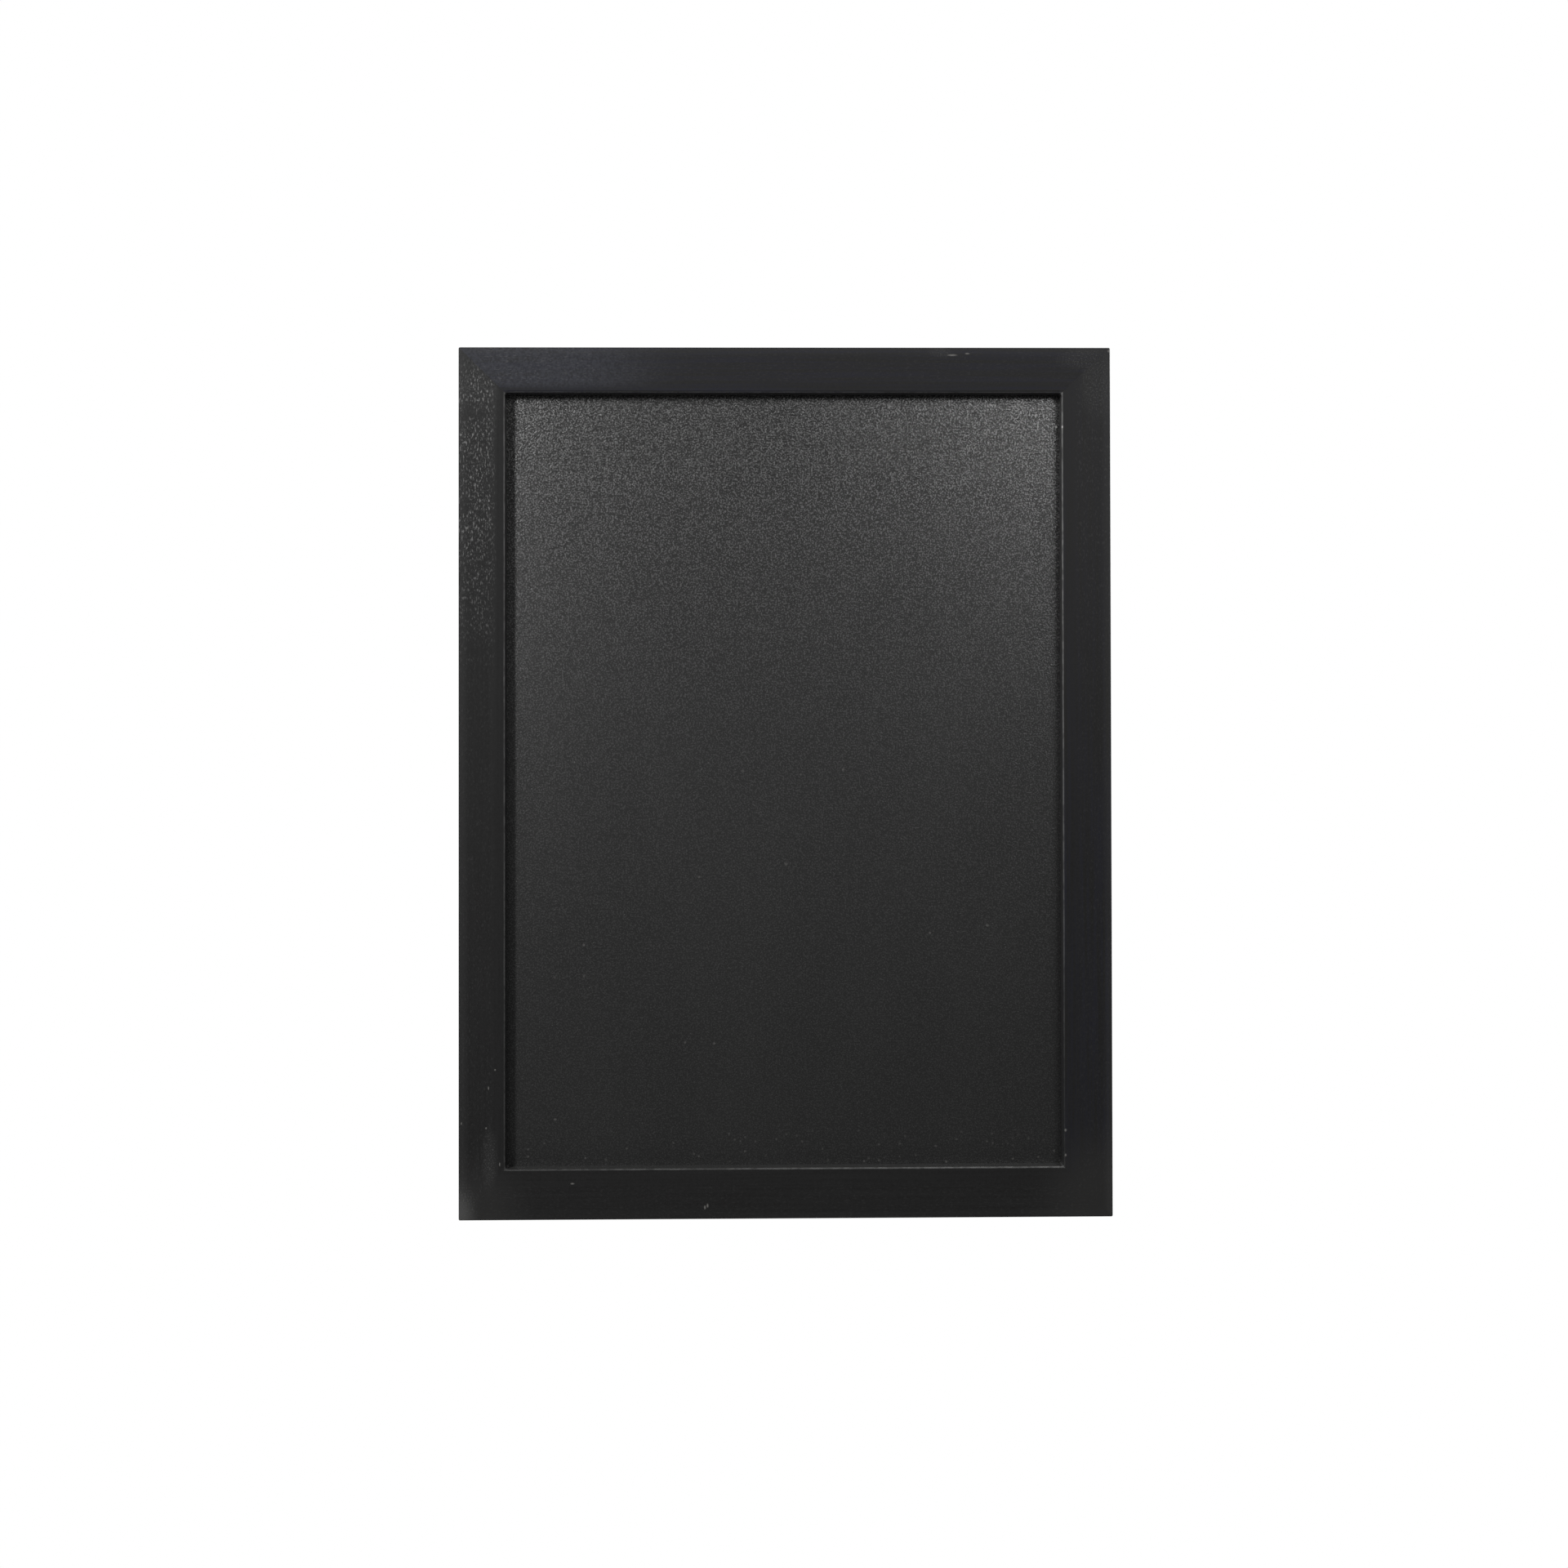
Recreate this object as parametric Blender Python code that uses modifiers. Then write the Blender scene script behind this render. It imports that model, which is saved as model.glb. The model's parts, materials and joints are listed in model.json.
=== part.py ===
"""Framed wall chalkboard, modelled in metres with +Z up.

The board faces -Y and its back is towards the wall at +Y, with the origin at the centre of its box.
Four mitred rails lap over a laminated chalk panel. Turn buttons hold the panel in from behind, and
two hanging rings on folded straps carry the board on hooks in the wall.
"""

import math

import bmesh
import bpy
from mathutils import Matrix, Vector

# Board and frame rails
BOARD_WIDTH = 0.300
BOARD_HEIGHT = 0.400
RAIL_WIDTH = 0.022
LIP_WIDTH = 0.006
LIP_DEPTH = 0.010
FRONT_ARRIS = 0.0007
BACK_ARRIS = 0.0004
MITRE_GAP = 0.0001

# Chalk panel, a core with a laminate on both faces
SHEET_THICKNESS = 0.0008
CORE_THICKNESS = 0.006
BACKING_THICKNESS = 0.0008
GLUE_LINE = 0.0001
SEAT_GAP = 0.0002
PANEL_PLAY = 0.0005

# Corner nails, bent strips driven across each mitre from behind
NAIL_LEG = 0.005
NAIL_THICKNESS = 0.0006
NAIL_HEIGHT = 0.007
NAIL_INSET = 0.0045
NAIL_FIT = 0.0001

# Pan head screws
SCREW_RADIUS = 0.0015
SCREW_LENGTH = 0.009
SCREW_TIP = 0.002
SCREW_PLAY = 0.0001
HEAD_RADIUS = 0.00275
HEAD_SIDE = 0.0006
HEAD_CROWN = 0.0011
HEAD_GAP = 0.0001
RECESS_ARM = 0.0015
RECESS_WIDTH = 0.0007
RECESS_DEPTH = 0.0009

# Turn buttons
BUTTON_THICKNESS = 0.001
BUTTON_LIFT = 0.0002
BUTTON_OVERLAP = 0.009
BUTTON_TAIL_RADIUS = 0.005
BUTTON_NOSE_RADIUS = 0.0038
BUTTON_FROM_END = 0.080

# Hangers, a folded strap that holds a wire ring
STRAP_WIDTH = 0.008
STRAP_THICKNESS = 0.0008
STRAP_TAIL = 0.005
STRAP_TAIL_ROUND = 0.0025
STRAP_LIFT = 0.0001
LAYER_GAP = 0.0002
KNUCKLE_PLAY = 0.00025
KNUCKLE_WRAP = 135
RING_WIRE_RADIUS = 0.001
RING_SIDE_PLAY = 0.0008
RING_CORNER = 0.0016
RING_SIDE = 0.003
RING_REST_GAP = 0.0003
HEAD_TO_RING = 0.0003
HANGER_FROM_TOP = 0.133

# Wall pads
PAD_RADIUS = 0.006
PAD_EDGE = 0.001
PAD_FROM_END = 0.030
WALL_CLEARANCE = 0.0006

# How finely round shapes are cut, and how far a cutter runs past the face it opens
SCREW_SIDES = 16
PAD_SIDES = 24
HOLE_STEPS = 16
ARC_STEPS = 6
CUT_PAST = 0.001

# Sections and places that follow from the sizes above
LAND_WIDTH = RAIL_WIDTH - LIP_WIDTH
REBATE_DEPTH = SEAT_GAP + SHEET_THICKNESS + CORE_THICKNESS + BACKING_THICKNESS + 2 * GLUE_LINE
RAIL_DEPTH = LIP_DEPTH + REBATE_DEPTH
PANEL_WIDTH = BOARD_WIDTH - 2 * (LAND_WIDTH + PANEL_PLAY)
PANEL_HEIGHT = BOARD_HEIGHT - 2 * (LAND_WIDTH + PANEL_PLAY)

KNUCKLE_RADIUS = RING_WIRE_RADIUS + KNUCKLE_PLAY + STRAP_THICKNESS / 2
LOWER_LAYER = STRAP_LIFT + STRAP_THICKNESS / 2
UPPER_LAYER = LOWER_LAYER + STRAP_THICKNESS + LAYER_GAP
STRAP_TOP = UPPER_LAYER + STRAP_THICKNESS / 2
BAR_HEIGHT = LOWER_LAYER + KNUCKLE_RADIUS
HANGER_HEIGHT = BAR_HEIGHT + KNUCKLE_RADIUS + STRAP_THICKNESS / 2
PAD_HEIGHT = HANGER_HEIGHT + WALL_CLEARANCE

RING_WIDTH = STRAP_WIDTH + 2 * (RING_SIDE_PLAY + RING_CORNER)
RING_REACH = RING_CORNER + RING_SIDE + RING_WIDTH / 2
RING_REST_TILT = math.asin((BAR_HEIGHT - RING_WIRE_RADIUS - RING_REST_GAP) / RING_REACH)
STRAP_SCREW_DROP = RING_REACH - RING_WIRE_RADIUS - HEAD_RADIUS - HEAD_TO_RING

FRONT_Y = -(RAIL_DEPTH + PAD_HEIGHT) / 2
BACK_Y = FRONT_Y + RAIL_DEPTH
BAR_Z = BOARD_HEIGHT / 2 - HANGER_FROM_TOP

# Each rail's turn about Y, and whether its own +X then runs with the board's +X or +Z
RAILS = {"top": (0, 1), "right": (90, -1), "bottom": (180, -1), "left": (270, 1)}
# Each corner's turn about Y, and the sides of the board it is on
CORNERS = {
    "top_left": (0, -1, 1),
    "top_right": (90, 1, 1),
    "bottom_right": (180, 1, -1),
    "bottom_left": (270, -1, -1),
}

WELD_DISTANCE = 1e-6
FACING_BACK = Matrix.Rotation(math.radians(-90), 4, "X")


def clear_scene():
    for obj in list(bpy.data.objects):
        bpy.data.objects.remove(obj)


def new_collection(name):
    collection = bpy.data.collections.new(name)
    bpy.context.scene.collection.children.link(collection)
    return collection


def material(name, colour, roughness, metallic=0.0):
    made = bpy.data.materials.new(name)
    made.use_nodes = True
    shader = made.node_tree.nodes["Principled BSDF"]
    shader.inputs["Base Color"].default_value = (*colour, 1)
    shader.inputs["Roughness"].default_value = roughness
    shader.inputs["Metallic"].default_value = metallic
    return made


def arc(centre, radius, start, end, steps=ARC_STEPS):
    """Points on a round stretch, from one angle in degrees to another, both ends included."""
    points = []
    for step in range(steps + 1):
        angle = math.radians(start + (end - start) * step / steps)
        points.append((centre[0] + radius * math.cos(angle), centre[1] + radius * math.sin(angle)))
    return points


def add_object(name, data, collection, finish=None, location=(0, 0, 0), turn=0):
    """One object at a place on the board, turned about Y by so many degrees."""
    obj = bpy.data.objects.new(name, data)
    collection.objects.link(obj)
    obj.location = location
    obj.rotation_euler = (0, math.radians(turn), 0)
    if finish is not None:
        data.materials.clear()
        data.materials.append(finish)
        obj.parent = board_origin
    return obj


def add_cutter(name, mesh, location, turn=0):
    cutter = add_object(name, mesh, cutters, location=location, turn=turn)
    cutter.hide_render = True
    cutter.display_type = "WIRE"
    return cutter


def cut(obj):
    """Opens every nail slot and screw bore that reaches into this object."""
    boolean = obj.modifiers.new("slots and bores", "BOOLEAN")
    boolean.operand_type = "COLLECTION"
    boolean.collection = cutters


def finished_mesh(obj):
    """The mesh of an object as its modifiers or its curve make it, welded shut. The object is removed."""
    graph = bpy.context.evaluated_depsgraph_get()
    mesh = bpy.data.meshes.new_from_object(obj.evaluated_get(graph))
    bpy.data.objects.remove(obj)
    shape = bmesh.new()
    shape.from_mesh(mesh)
    bmesh.ops.remove_doubles(shape, verts=shape.verts, dist=WELD_DISTANCE)
    shape.to_mesh(mesh)
    shape.free()
    return mesh


def outline_mesh(name, loops, thickness):
    """A plate of one outline and the holes in it, lying in XY with its thickness about Z."""
    curve = bpy.data.curves.new(name, "CURVE")
    curve.dimensions = "2D"
    curve.fill_mode = "BOTH"
    curve.extrude = thickness / 2
    for loop in loops:
        spline = curve.splines.new("POLY")
        spline.points.add(len(loop) - 1)
        spline.use_cyclic_u = True
        for point, place in zip(spline.points, loop):
            point.co = (*place, 0, 1)
    return finished_mesh(add_object(name, curve, bench))


def turned_mesh(name, profile, sides):
    """A shape turned about Z from the (radius, height) points of its outer side, listed from the top."""
    mesh = bpy.data.meshes.new(name)
    shape = bmesh.new()
    points = [shape.verts.new((radius, 0, height)) for radius, height in profile]
    for above, below in zip(points, points[1:]):
        shape.edges.new((above, below))
    shape.to_mesh(mesh)
    shape.free()
    obj = add_object(name, mesh, bench)
    turning = obj.modifiers.new("turning", "SCREW")
    turning.steps = turning.render_steps = sides
    turning.use_merge_vertices = True
    turning.merge_threshold = WELD_DISTANCE
    return finished_mesh(obj)


def box_mesh(name, width, depth, height):
    mesh = bpy.data.meshes.new(name)
    shape = bmesh.new()
    bmesh.ops.create_cube(shape, size=1)
    bmesh.ops.scale(shape, vec=(width, depth, height), verts=shape.verts)
    shape.to_mesh(mesh)
    shape.free()
    return mesh


def half_span(side):
    return (BOARD_HEIGHT if side in ("top", "bottom") else BOARD_WIDTH) / 2


def on_rail(side, along, inset, height):
    """A place on the back of a rail: along it from the middle, in from its outer edge, above its back."""
    turn, sense = RAILS[side]
    flat = Vector((sense * along, 0, half_span(side) - inset))
    place = Matrix.Rotation(math.radians(turn), 3, "Y") @ flat
    return Vector((place.x, BACK_Y + height, place.z))


def rail_mesh(name, length):
    """A mitred rail along X: outer edge at z = 0, inner edge below it, front at y = 0."""
    section = [
        (0, 0),
        (RAIL_WIDTH, 0),
        (RAIL_WIDTH, LIP_DEPTH),
        (LAND_WIDTH, LIP_DEPTH),
        (LAND_WIDTH, RAIL_DEPTH),
        (0, RAIL_DEPTH),
    ]
    mesh = outline_mesh(name, [section], length)
    mesh.transform(Matrix.Rotation(math.radians(90), 4, "Y"))
    arrises = {(0, 0): FRONT_ARRIS, (RAIL_WIDTH, 0): FRONT_ARRIS, (0, RAIL_DEPTH): BACK_ARRIS}
    shape = bmesh.new()
    shape.from_mesh(mesh)
    weights = shape.edges.layers.float.new("bevel_weight_edge")
    for vertex in shape.verts:
        end = length / 2 + vertex.co.z - MITRE_GAP / math.sqrt(2)
        vertex.co.x = math.copysign(end, vertex.co.x)
    for edge in shape.edges:
        first, second = (vertex.co for vertex in edge.verts)
        for (inset, depth), radius in arrises.items():
            if all(math.hypot(-co.z - inset, co.y - depth) < WELD_DISTANCE for co in (first, second)):
                edge[weights] = radius / FRONT_ARRIS
    shape.to_mesh(mesh)
    shape.free()
    return mesh


def add_rails():
    lacquer = material("black lacquered wood", (0.020, 0.020, 0.021), 0.45)
    for side, (turn, _) in RAILS.items():
        length = BOARD_WIDTH if side in ("top", "bottom") else BOARD_HEIGHT
        place = on_rail(side, 0, 0, -RAIL_DEPTH)
        rail = add_object(f"rail_{side}", rail_mesh(f"rail_{side}", length), parts, lacquer, place, turn)
        easing = rail.modifiers.new("eased arrises", "BEVEL")
        easing.limit_method = "WEIGHT"
        easing.width = FRONT_ARRIS
        easing.segments = 3
        cut(rail)


def add_panel():
    """The writing laminate, the core and the backing laminate, from the lip of the frame to its back."""
    layers = [
        ("writing_sheet", SHEET_THICKNESS, material("chalk laminate", (0.024, 0.024, 0.024), 0.38)),
        ("panel_core", CORE_THICKNESS, material("fibreboard", (0.30, 0.20, 0.12), 0.8)),
        ("backing_sheet", BACKING_THICKNESS, material("backing laminate", (0.045, 0.043, 0.040), 0.6)),
    ]
    front = FRONT_Y + LIP_DEPTH + SEAT_GAP
    for name, thickness, finish in layers:
        mesh = box_mesh(name, PANEL_WIDTH, thickness, PANEL_HEIGHT)
        add_object(name, mesh, parts, finish, (0, front + thickness / 2, 0))
        front += thickness + GLUE_LINE


def nail_mesh(name, grow, height):
    """An angle of two legs along +X and -Z, its apex at the origin, standing along Y."""
    inner = NAIL_THICKNESS + grow
    tip = NAIL_LEG + grow
    outline = [(-grow, -grow), (tip, -grow), (tip, inner), (inner, inner), (inner, tip), (-grow, tip)]
    mesh = outline_mesh(name, [outline], height)
    mesh.transform(FACING_BACK)
    return mesh


def add_corner_nails():
    steel = material("nail steel", (0.45, 0.45, 0.46), 0.4, 1.0)
    slot_height = NAIL_HEIGHT + NAIL_FIT + CUT_PAST
    nail = nail_mesh("corner nail", 0, NAIL_HEIGHT)
    slot = nail_mesh("nail slot", NAIL_FIT, slot_height)
    for corner, (turn, across, up) in CORNERS.items():
        for which, inset in (("outer", NAIL_INSET), ("inner", LAND_WIDTH - NAIL_INSET)):
            x = across * (BOARD_WIDTH / 2 - inset)
            z = up * (BOARD_HEIGHT / 2 - inset)
            name = f"corner_nail_{corner}_{which}"
            add_object(name, nail, parts, steel, (x, BACK_Y - NAIL_HEIGHT / 2, z), turn)
            add_cutter(f"slot_{corner}_{which}", slot, (x, BACK_Y + CUT_PAST - slot_height / 2, z), turn)


def screw_mesh():
    """A pan head wood screw with a cross recess: under side of the head at the origin, head towards +Y."""
    crown = [(HEAD_RADIUS * x, HEAD_SIDE + HEAD_CROWN * z) for x, z in arc((0, 0), 1, 90, 0, 5)]
    crown[0] = (0, HEAD_SIDE + HEAD_CROWN)
    shank = [
        (HEAD_RADIUS, 0),
        (SCREW_RADIUS, 0),
        (SCREW_RADIUS, SCREW_TIP - SCREW_LENGTH),
        (0, -SCREW_LENGTH),
    ]
    blank = add_object("screw blank", turned_mesh("screw blank", crown + shank, SCREW_SIDES), bench)
    arm = RECESS_ARM
    side = RECESS_WIDTH / 2
    quarter = [(arm, -side), (arm, side), (side, side)]
    cross = []
    for turn in range(4):
        spin = Matrix.Rotation(math.radians(90 * turn), 2)
        cross += [tuple(spin @ Vector(point)) for point in quarter]
    driver = add_object("driver", outline_mesh("driver", [cross], 2 * RECESS_DEPTH), bench)
    driver.location.z = HEAD_SIDE + HEAD_CROWN
    recess = blank.modifiers.new("cross recess", "BOOLEAN")
    recess.object = driver
    mesh = finished_mesh(blank)
    bpy.data.objects.remove(driver)
    mesh.transform(FACING_BACK)
    return mesh


def add_screw(name, screw, finish, place):
    """A screw whose head bears at this place, with the bore that it needs below."""
    add_object(name, screw, parts, finish, place)
    bore_length = SCREW_LENGTH + SCREW_PLAY + CUT_PAST
    bore_radius = SCREW_RADIUS + SCREW_PLAY
    rim = [(0, 0), (bore_radius, 0), (bore_radius, -bore_length), (0, -bore_length)]
    bore = turned_mesh(f"bore_{name}", rim, SCREW_SIDES)
    bore.transform(FACING_BACK)
    add_cutter(f"bore_{name}", bore, place + Vector((0, CUT_PAST, 0)))


def turn_button_mesh():
    """A flat steel tongue: pivot hole at the origin, nose towards -Z, back towards +Y."""
    reach = LAND_WIDTH / 2 + PANEL_PLAY + BUTTON_OVERLAP
    nose = (0, reach - BUTTON_NOSE_RADIUS)
    spread = math.degrees(math.acos((BUTTON_TAIL_RADIUS - BUTTON_NOSE_RADIUS) / nose[1]))
    outline = arc(nose, BUTTON_NOSE_RADIUS, 90 - spread, 90 + spread)
    outline += arc((0, 0), BUTTON_TAIL_RADIUS, 90 + spread, 450 - spread)
    hole = arc((0, 0), SCREW_RADIUS + SCREW_PLAY, 0, 360, HOLE_STEPS)[:-1]
    mesh = outline_mesh("turn button", [outline, hole], BUTTON_THICKNESS)
    mesh.transform(FACING_BACK)
    return mesh


def add_turn_buttons(screw, zinc):
    steel = material("turn button steel", (0.62, 0.60, 0.54), 0.35, 1.0)
    tongue = turn_button_mesh()
    along = BOARD_HEIGHT / 2 - BUTTON_FROM_END
    places = {"top": ("top", 0), "bottom": ("bottom", 0)}
    for side in ("left", "right"):
        places[f"{side}_upper"] = (side, along)
        places[f"{side}_lower"] = (side, -along)
    for name, (side, offset) in places.items():
        turn, _ = RAILS[side]
        pivot = on_rail(side, offset, LAND_WIDTH / 2, BUTTON_LIFT + BUTTON_THICKNESS / 2)
        add_object(f"turn_button_{name}", tongue, parts, steel, pivot, turn)
        bearing = on_rail(side, offset, LAND_WIDTH / 2, BUTTON_LIFT + BUTTON_THICKNESS + HEAD_GAP)
        add_screw(f"button_screw_{name}", screw, zinc, bearing)


def strap_mesh():
    """The folded strap's middle surface: up the lower layer, round the ring's bar and down the upper layer."""
    tail = -(STRAP_SCREW_DROP + STRAP_TAIL)
    wrap = arc((0, 0), KNUCKLE_RADIUS, -90, KNUCKLE_WRAP, 2 * ARC_STEPS)
    last_z, last_height = wrap[-1]
    fall = last_height - (UPPER_LAYER - BAR_HEIGHT)
    landing = last_z + fall / math.tan(math.radians(KNUCKLE_WRAP))
    path = [(tail, LOWER_LAYER - BAR_HEIGHT), *wrap]
    path += [(landing, UPPER_LAYER - BAR_HEIGHT), (tail, UPPER_LAYER - BAR_HEIGHT)]
    mesh = bpy.data.meshes.new("hanger strap")
    shape = bmesh.new()
    points = [shape.verts.new((-STRAP_WIDTH / 2, y, z)) for z, y in path]
    edges = [shape.edges.new(pair) for pair in zip(points, points[1:])]
    swept = bmesh.ops.extrude_edge_only(shape, edges=edges)["geom"]
    moved = [item for item in swept if isinstance(item, bmesh.types.BMVert)]
    bmesh.ops.translate(shape, vec=(STRAP_WIDTH, 0, 0), verts=moved)
    corners = [vertex for vertex in shape.verts if abs(vertex.co.z - tail) < WELD_DISTANCE]
    bmesh.ops.bevel(shape, geom=corners, offset=STRAP_TAIL_ROUND, segments=4, profile=0.5, affect="VERTICES")
    bmesh.ops.recalc_face_normals(shape, faces=shape.faces)
    shape.to_mesh(mesh)
    shape.free()
    return mesh


def ring_curve():
    """A wire ring: straight bar along X on the hinge line, round top above it."""
    side = RING_WIDTH / 2
    shoulder = RING_CORNER + RING_SIDE
    path = arc((side - RING_CORNER, RING_CORNER), RING_CORNER, -90, 0, 4)
    path += arc((0, shoulder), side, 0, 180, 2 * ARC_STEPS)
    path += arc((RING_CORNER - side, RING_CORNER), RING_CORNER, 180, 270, 4)
    curve = bpy.data.curves.new("hanging ring", "CURVE")
    curve.dimensions = "3D"
    curve.bevel_depth = RING_WIRE_RADIUS
    curve.bevel_resolution = 2
    spline = curve.splines.new("POLY")
    spline.points.add(len(path) - 1)
    spline.use_cyclic_u = True
    for point, (x, z) in zip(spline.points, path):
        point.co = (x, 0, z, 1)
    return curve


def add_hangers(screw, zinc):
    steel = material("strap steel", (0.55, 0.55, 0.56), 0.35, 1.0)
    wire = material("ring wire", (0.60, 0.60, 0.60), 0.25, 1.0)
    for side in ("left", "right"):
        bar = on_rail(side, BAR_Z, LAND_WIDTH / 2, BAR_HEIGHT)
        strap = add_object(f"hanger_strap_{side}", strap_mesh(), parts, steel, bar)
        sheet = strap.modifiers.new("sheet", "SOLIDIFY")
        sheet.thickness = STRAP_THICKNESS
        sheet.offset = 0
        sheet.use_even_offset = True
        cut(strap)
        ring = add_object(f"hanging_ring_{side}", ring_curve(), parts, wire, bar)
        ring.rotation_euler.x = RING_REST_TILT
        bearing = on_rail(side, BAR_Z - STRAP_SCREW_DROP, LAND_WIDTH / 2, STRAP_TOP + HEAD_GAP)
        add_screw(f"hanger_screw_{side}", screw, zinc, bearing)


def add_wall_pads():
    rubber = material("pad rubber", (0.03, 0.03, 0.03), 0.8)
    edge = arc((PAD_RADIUS - PAD_EDGE, PAD_HEIGHT - PAD_EDGE), PAD_EDGE, 90, 0, 3)
    pad = turned_mesh("wall pad", [(0, PAD_HEIGHT), *edge, (PAD_RADIUS, GLUE_LINE), (0, GLUE_LINE)], PAD_SIDES)
    pad.transform(FACING_BACK)
    along = BOARD_WIDTH / 2 - PAD_FROM_END
    for name, offset in (("left", -along), ("right", along)):
        add_object(f"wall_pad_{name}", pad, parts, rubber, on_rail("bottom", offset, LAND_WIDTH / 2, 0))


def shade_round_pieces():
    for obj in parts.objects:
        if obj.type == "MESH" and not obj.name.startswith(("writing", "panel", "backing")):
            obj.data.shade_smooth()
            obj.data.set_sharp_from_angle(angle=math.radians(30))


clear_scene()
parts = new_collection("wall_chalkboard")
cutters = new_collection("cutters")
bench = new_collection("bench")
board_origin = bpy.data.objects.new("board_origin", None)
parts.objects.link(board_origin)

add_rails()
add_panel()
add_corner_nails()
pan_head = screw_mesh()
zinc_plate = material("zinc plated steel", (0.62, 0.62, 0.60), 0.3, 1.0)
add_turn_buttons(pan_head, zinc_plate)
add_hangers(pan_head, zinc_plate)
add_wall_pads()
shade_round_pieces()
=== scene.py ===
import json
import math

import bmesh
import bpy
from mathutils import Matrix, Vector


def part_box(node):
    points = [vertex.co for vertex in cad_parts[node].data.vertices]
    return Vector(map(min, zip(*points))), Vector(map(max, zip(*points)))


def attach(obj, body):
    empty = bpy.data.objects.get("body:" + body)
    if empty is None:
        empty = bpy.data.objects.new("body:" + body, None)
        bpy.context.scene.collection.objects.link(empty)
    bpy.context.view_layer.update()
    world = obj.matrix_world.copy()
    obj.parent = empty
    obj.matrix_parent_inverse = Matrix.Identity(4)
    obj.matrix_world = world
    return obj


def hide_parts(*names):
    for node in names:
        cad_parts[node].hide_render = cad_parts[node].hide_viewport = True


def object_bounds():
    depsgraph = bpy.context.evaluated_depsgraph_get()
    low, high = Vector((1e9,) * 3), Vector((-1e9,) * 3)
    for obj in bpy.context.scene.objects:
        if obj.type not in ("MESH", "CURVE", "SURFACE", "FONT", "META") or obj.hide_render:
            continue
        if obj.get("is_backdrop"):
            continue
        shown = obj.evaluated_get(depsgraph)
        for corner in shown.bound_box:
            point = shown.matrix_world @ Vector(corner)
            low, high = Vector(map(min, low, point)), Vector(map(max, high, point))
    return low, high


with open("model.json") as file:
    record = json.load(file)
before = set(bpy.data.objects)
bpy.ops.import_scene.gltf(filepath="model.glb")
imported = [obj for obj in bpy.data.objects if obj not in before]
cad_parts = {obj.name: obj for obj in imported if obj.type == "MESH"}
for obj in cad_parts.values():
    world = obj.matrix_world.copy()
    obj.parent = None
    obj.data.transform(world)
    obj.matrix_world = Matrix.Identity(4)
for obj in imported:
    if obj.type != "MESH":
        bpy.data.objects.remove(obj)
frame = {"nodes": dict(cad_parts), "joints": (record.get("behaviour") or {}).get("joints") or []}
cad_low, cad_high = (Vector(corner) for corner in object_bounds())

# Camera: almost square on to the writing face, a touch left of its middle and a little above it. The
# lens is shifted down, which keeps the board's edges upright in the middle of the picture.
CAMERA_PLACE = (-0.021, -1.3114, 0.044)
CAMERA_TURN = (90.8141, 0.1054, -1.3437)
CAMERA_LENS = 64.948
SENSOR_WIDTH = 36.0
LENS_SHIFT = (-0.01424, -0.08796)

scene = bpy.context.scene
scene.view_settings.view_transform = "Standard"
bpy.ops.object.select_all(action="DESELECT")
bpy.ops.object.camera_add(location=CAMERA_PLACE, rotation=[math.radians(turn) for turn in CAMERA_TURN])
camera = bpy.context.object
camera.data.sensor_fit = "HORIZONTAL"
camera.data.sensor_width = SENSOR_WIDTH
camera.data.lens = CAMERA_LENS
camera.data.shift_x, camera.data.shift_y = LENS_SHIFT
scene.camera = camera

# Studio: a dim room round the board, lighter above than below, with a white background behind it, and a
# pale floor well below, as under a board hung at eye level. The floor fades into the white towards its rim.
ROOM_LIGHT = (0.07, 0.19)
ROOM_RISE = (-0.20, 0.12)
FLOOR_DROP = 1.3
FLOOR_RADIUS = 3.0
FLOOR_SIDES = 96
FLOOR_FADE = (0.5 * FLOOR_RADIUS, 0.95 * FLOOR_RADIUS)
FLOOR_COLOUR = (0.80, 0.80, 0.79, 1)
FLOOR_PALENESS = 0.6
WHITE = (1, 1, 1, 1)
BEHIND_START = (3.0, 0.5)


def add_node(tree, kind, sockets=None, **settings):
    """Adds a shader node with these settings. Its sockets take values or the outputs of other nodes."""
    made = tree.nodes.new(kind)
    for name, value in settings.items():
        setattr(made, name, value)
    for name, value in (sockets or {}).items():
        if isinstance(value, bpy.types.NodeSocket):
            tree.links.new(value, made.inputs[name])
        else:
            made.inputs[name].default_value = value
    return made


def maths(tree, operation, *values, clamp=False):
    """The result of a Math node on these values or outputs."""
    made = add_node(tree, "ShaderNodeMath", dict(enumerate(values)), operation=operation, use_clamp=clamp)
    return made.outputs["Value"]


def meets_white(tree, behind):
    """The share of rays that meet the white: the camera's, and mirrored or refracted ones that go behind."""
    rays = add_node(tree, "ShaderNodeLightPath").outputs
    mirrored = maths(tree, "MAXIMUM", rays["Is Glossy Ray"], rays["Is Transmission Ray"])
    return maths(tree, "MAXIMUM", rays["Is Camera Ray"], maths(tree, "MULTIPLY", mirrored, behind))


world = bpy.data.worlds.new("studio_room")
world.use_nodes = True
scene.world = world
tree = world.node_tree
tree.nodes.clear()
facing = add_node(tree, "ShaderNodeTexCoord")
heading = add_node(tree, "ShaderNodeSeparateXYZ", {"Vector": facing.outputs["Generated"]})
behind = maths(tree, "MULTIPLY_ADD", heading.outputs["Y"], *BEHIND_START, clamp=True)
room = add_node(
    tree, "ShaderNodeMapRange",
    {
        "Value": heading.outputs["Z"], "From Min": ROOM_RISE[0], "From Max": ROOM_RISE[1],
        "To Min": ROOM_LIGHT[0], "To Max": ROOM_LIGHT[1],
    },
    interpolation_type="SMOOTHSTEP",
)
dim = add_node(tree, "ShaderNodeBackground", {"Color": WHITE, "Strength": room.outputs["Result"]})
white = add_node(tree, "ShaderNodeBackground", {"Color": WHITE, "Strength": 1.0})
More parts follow.
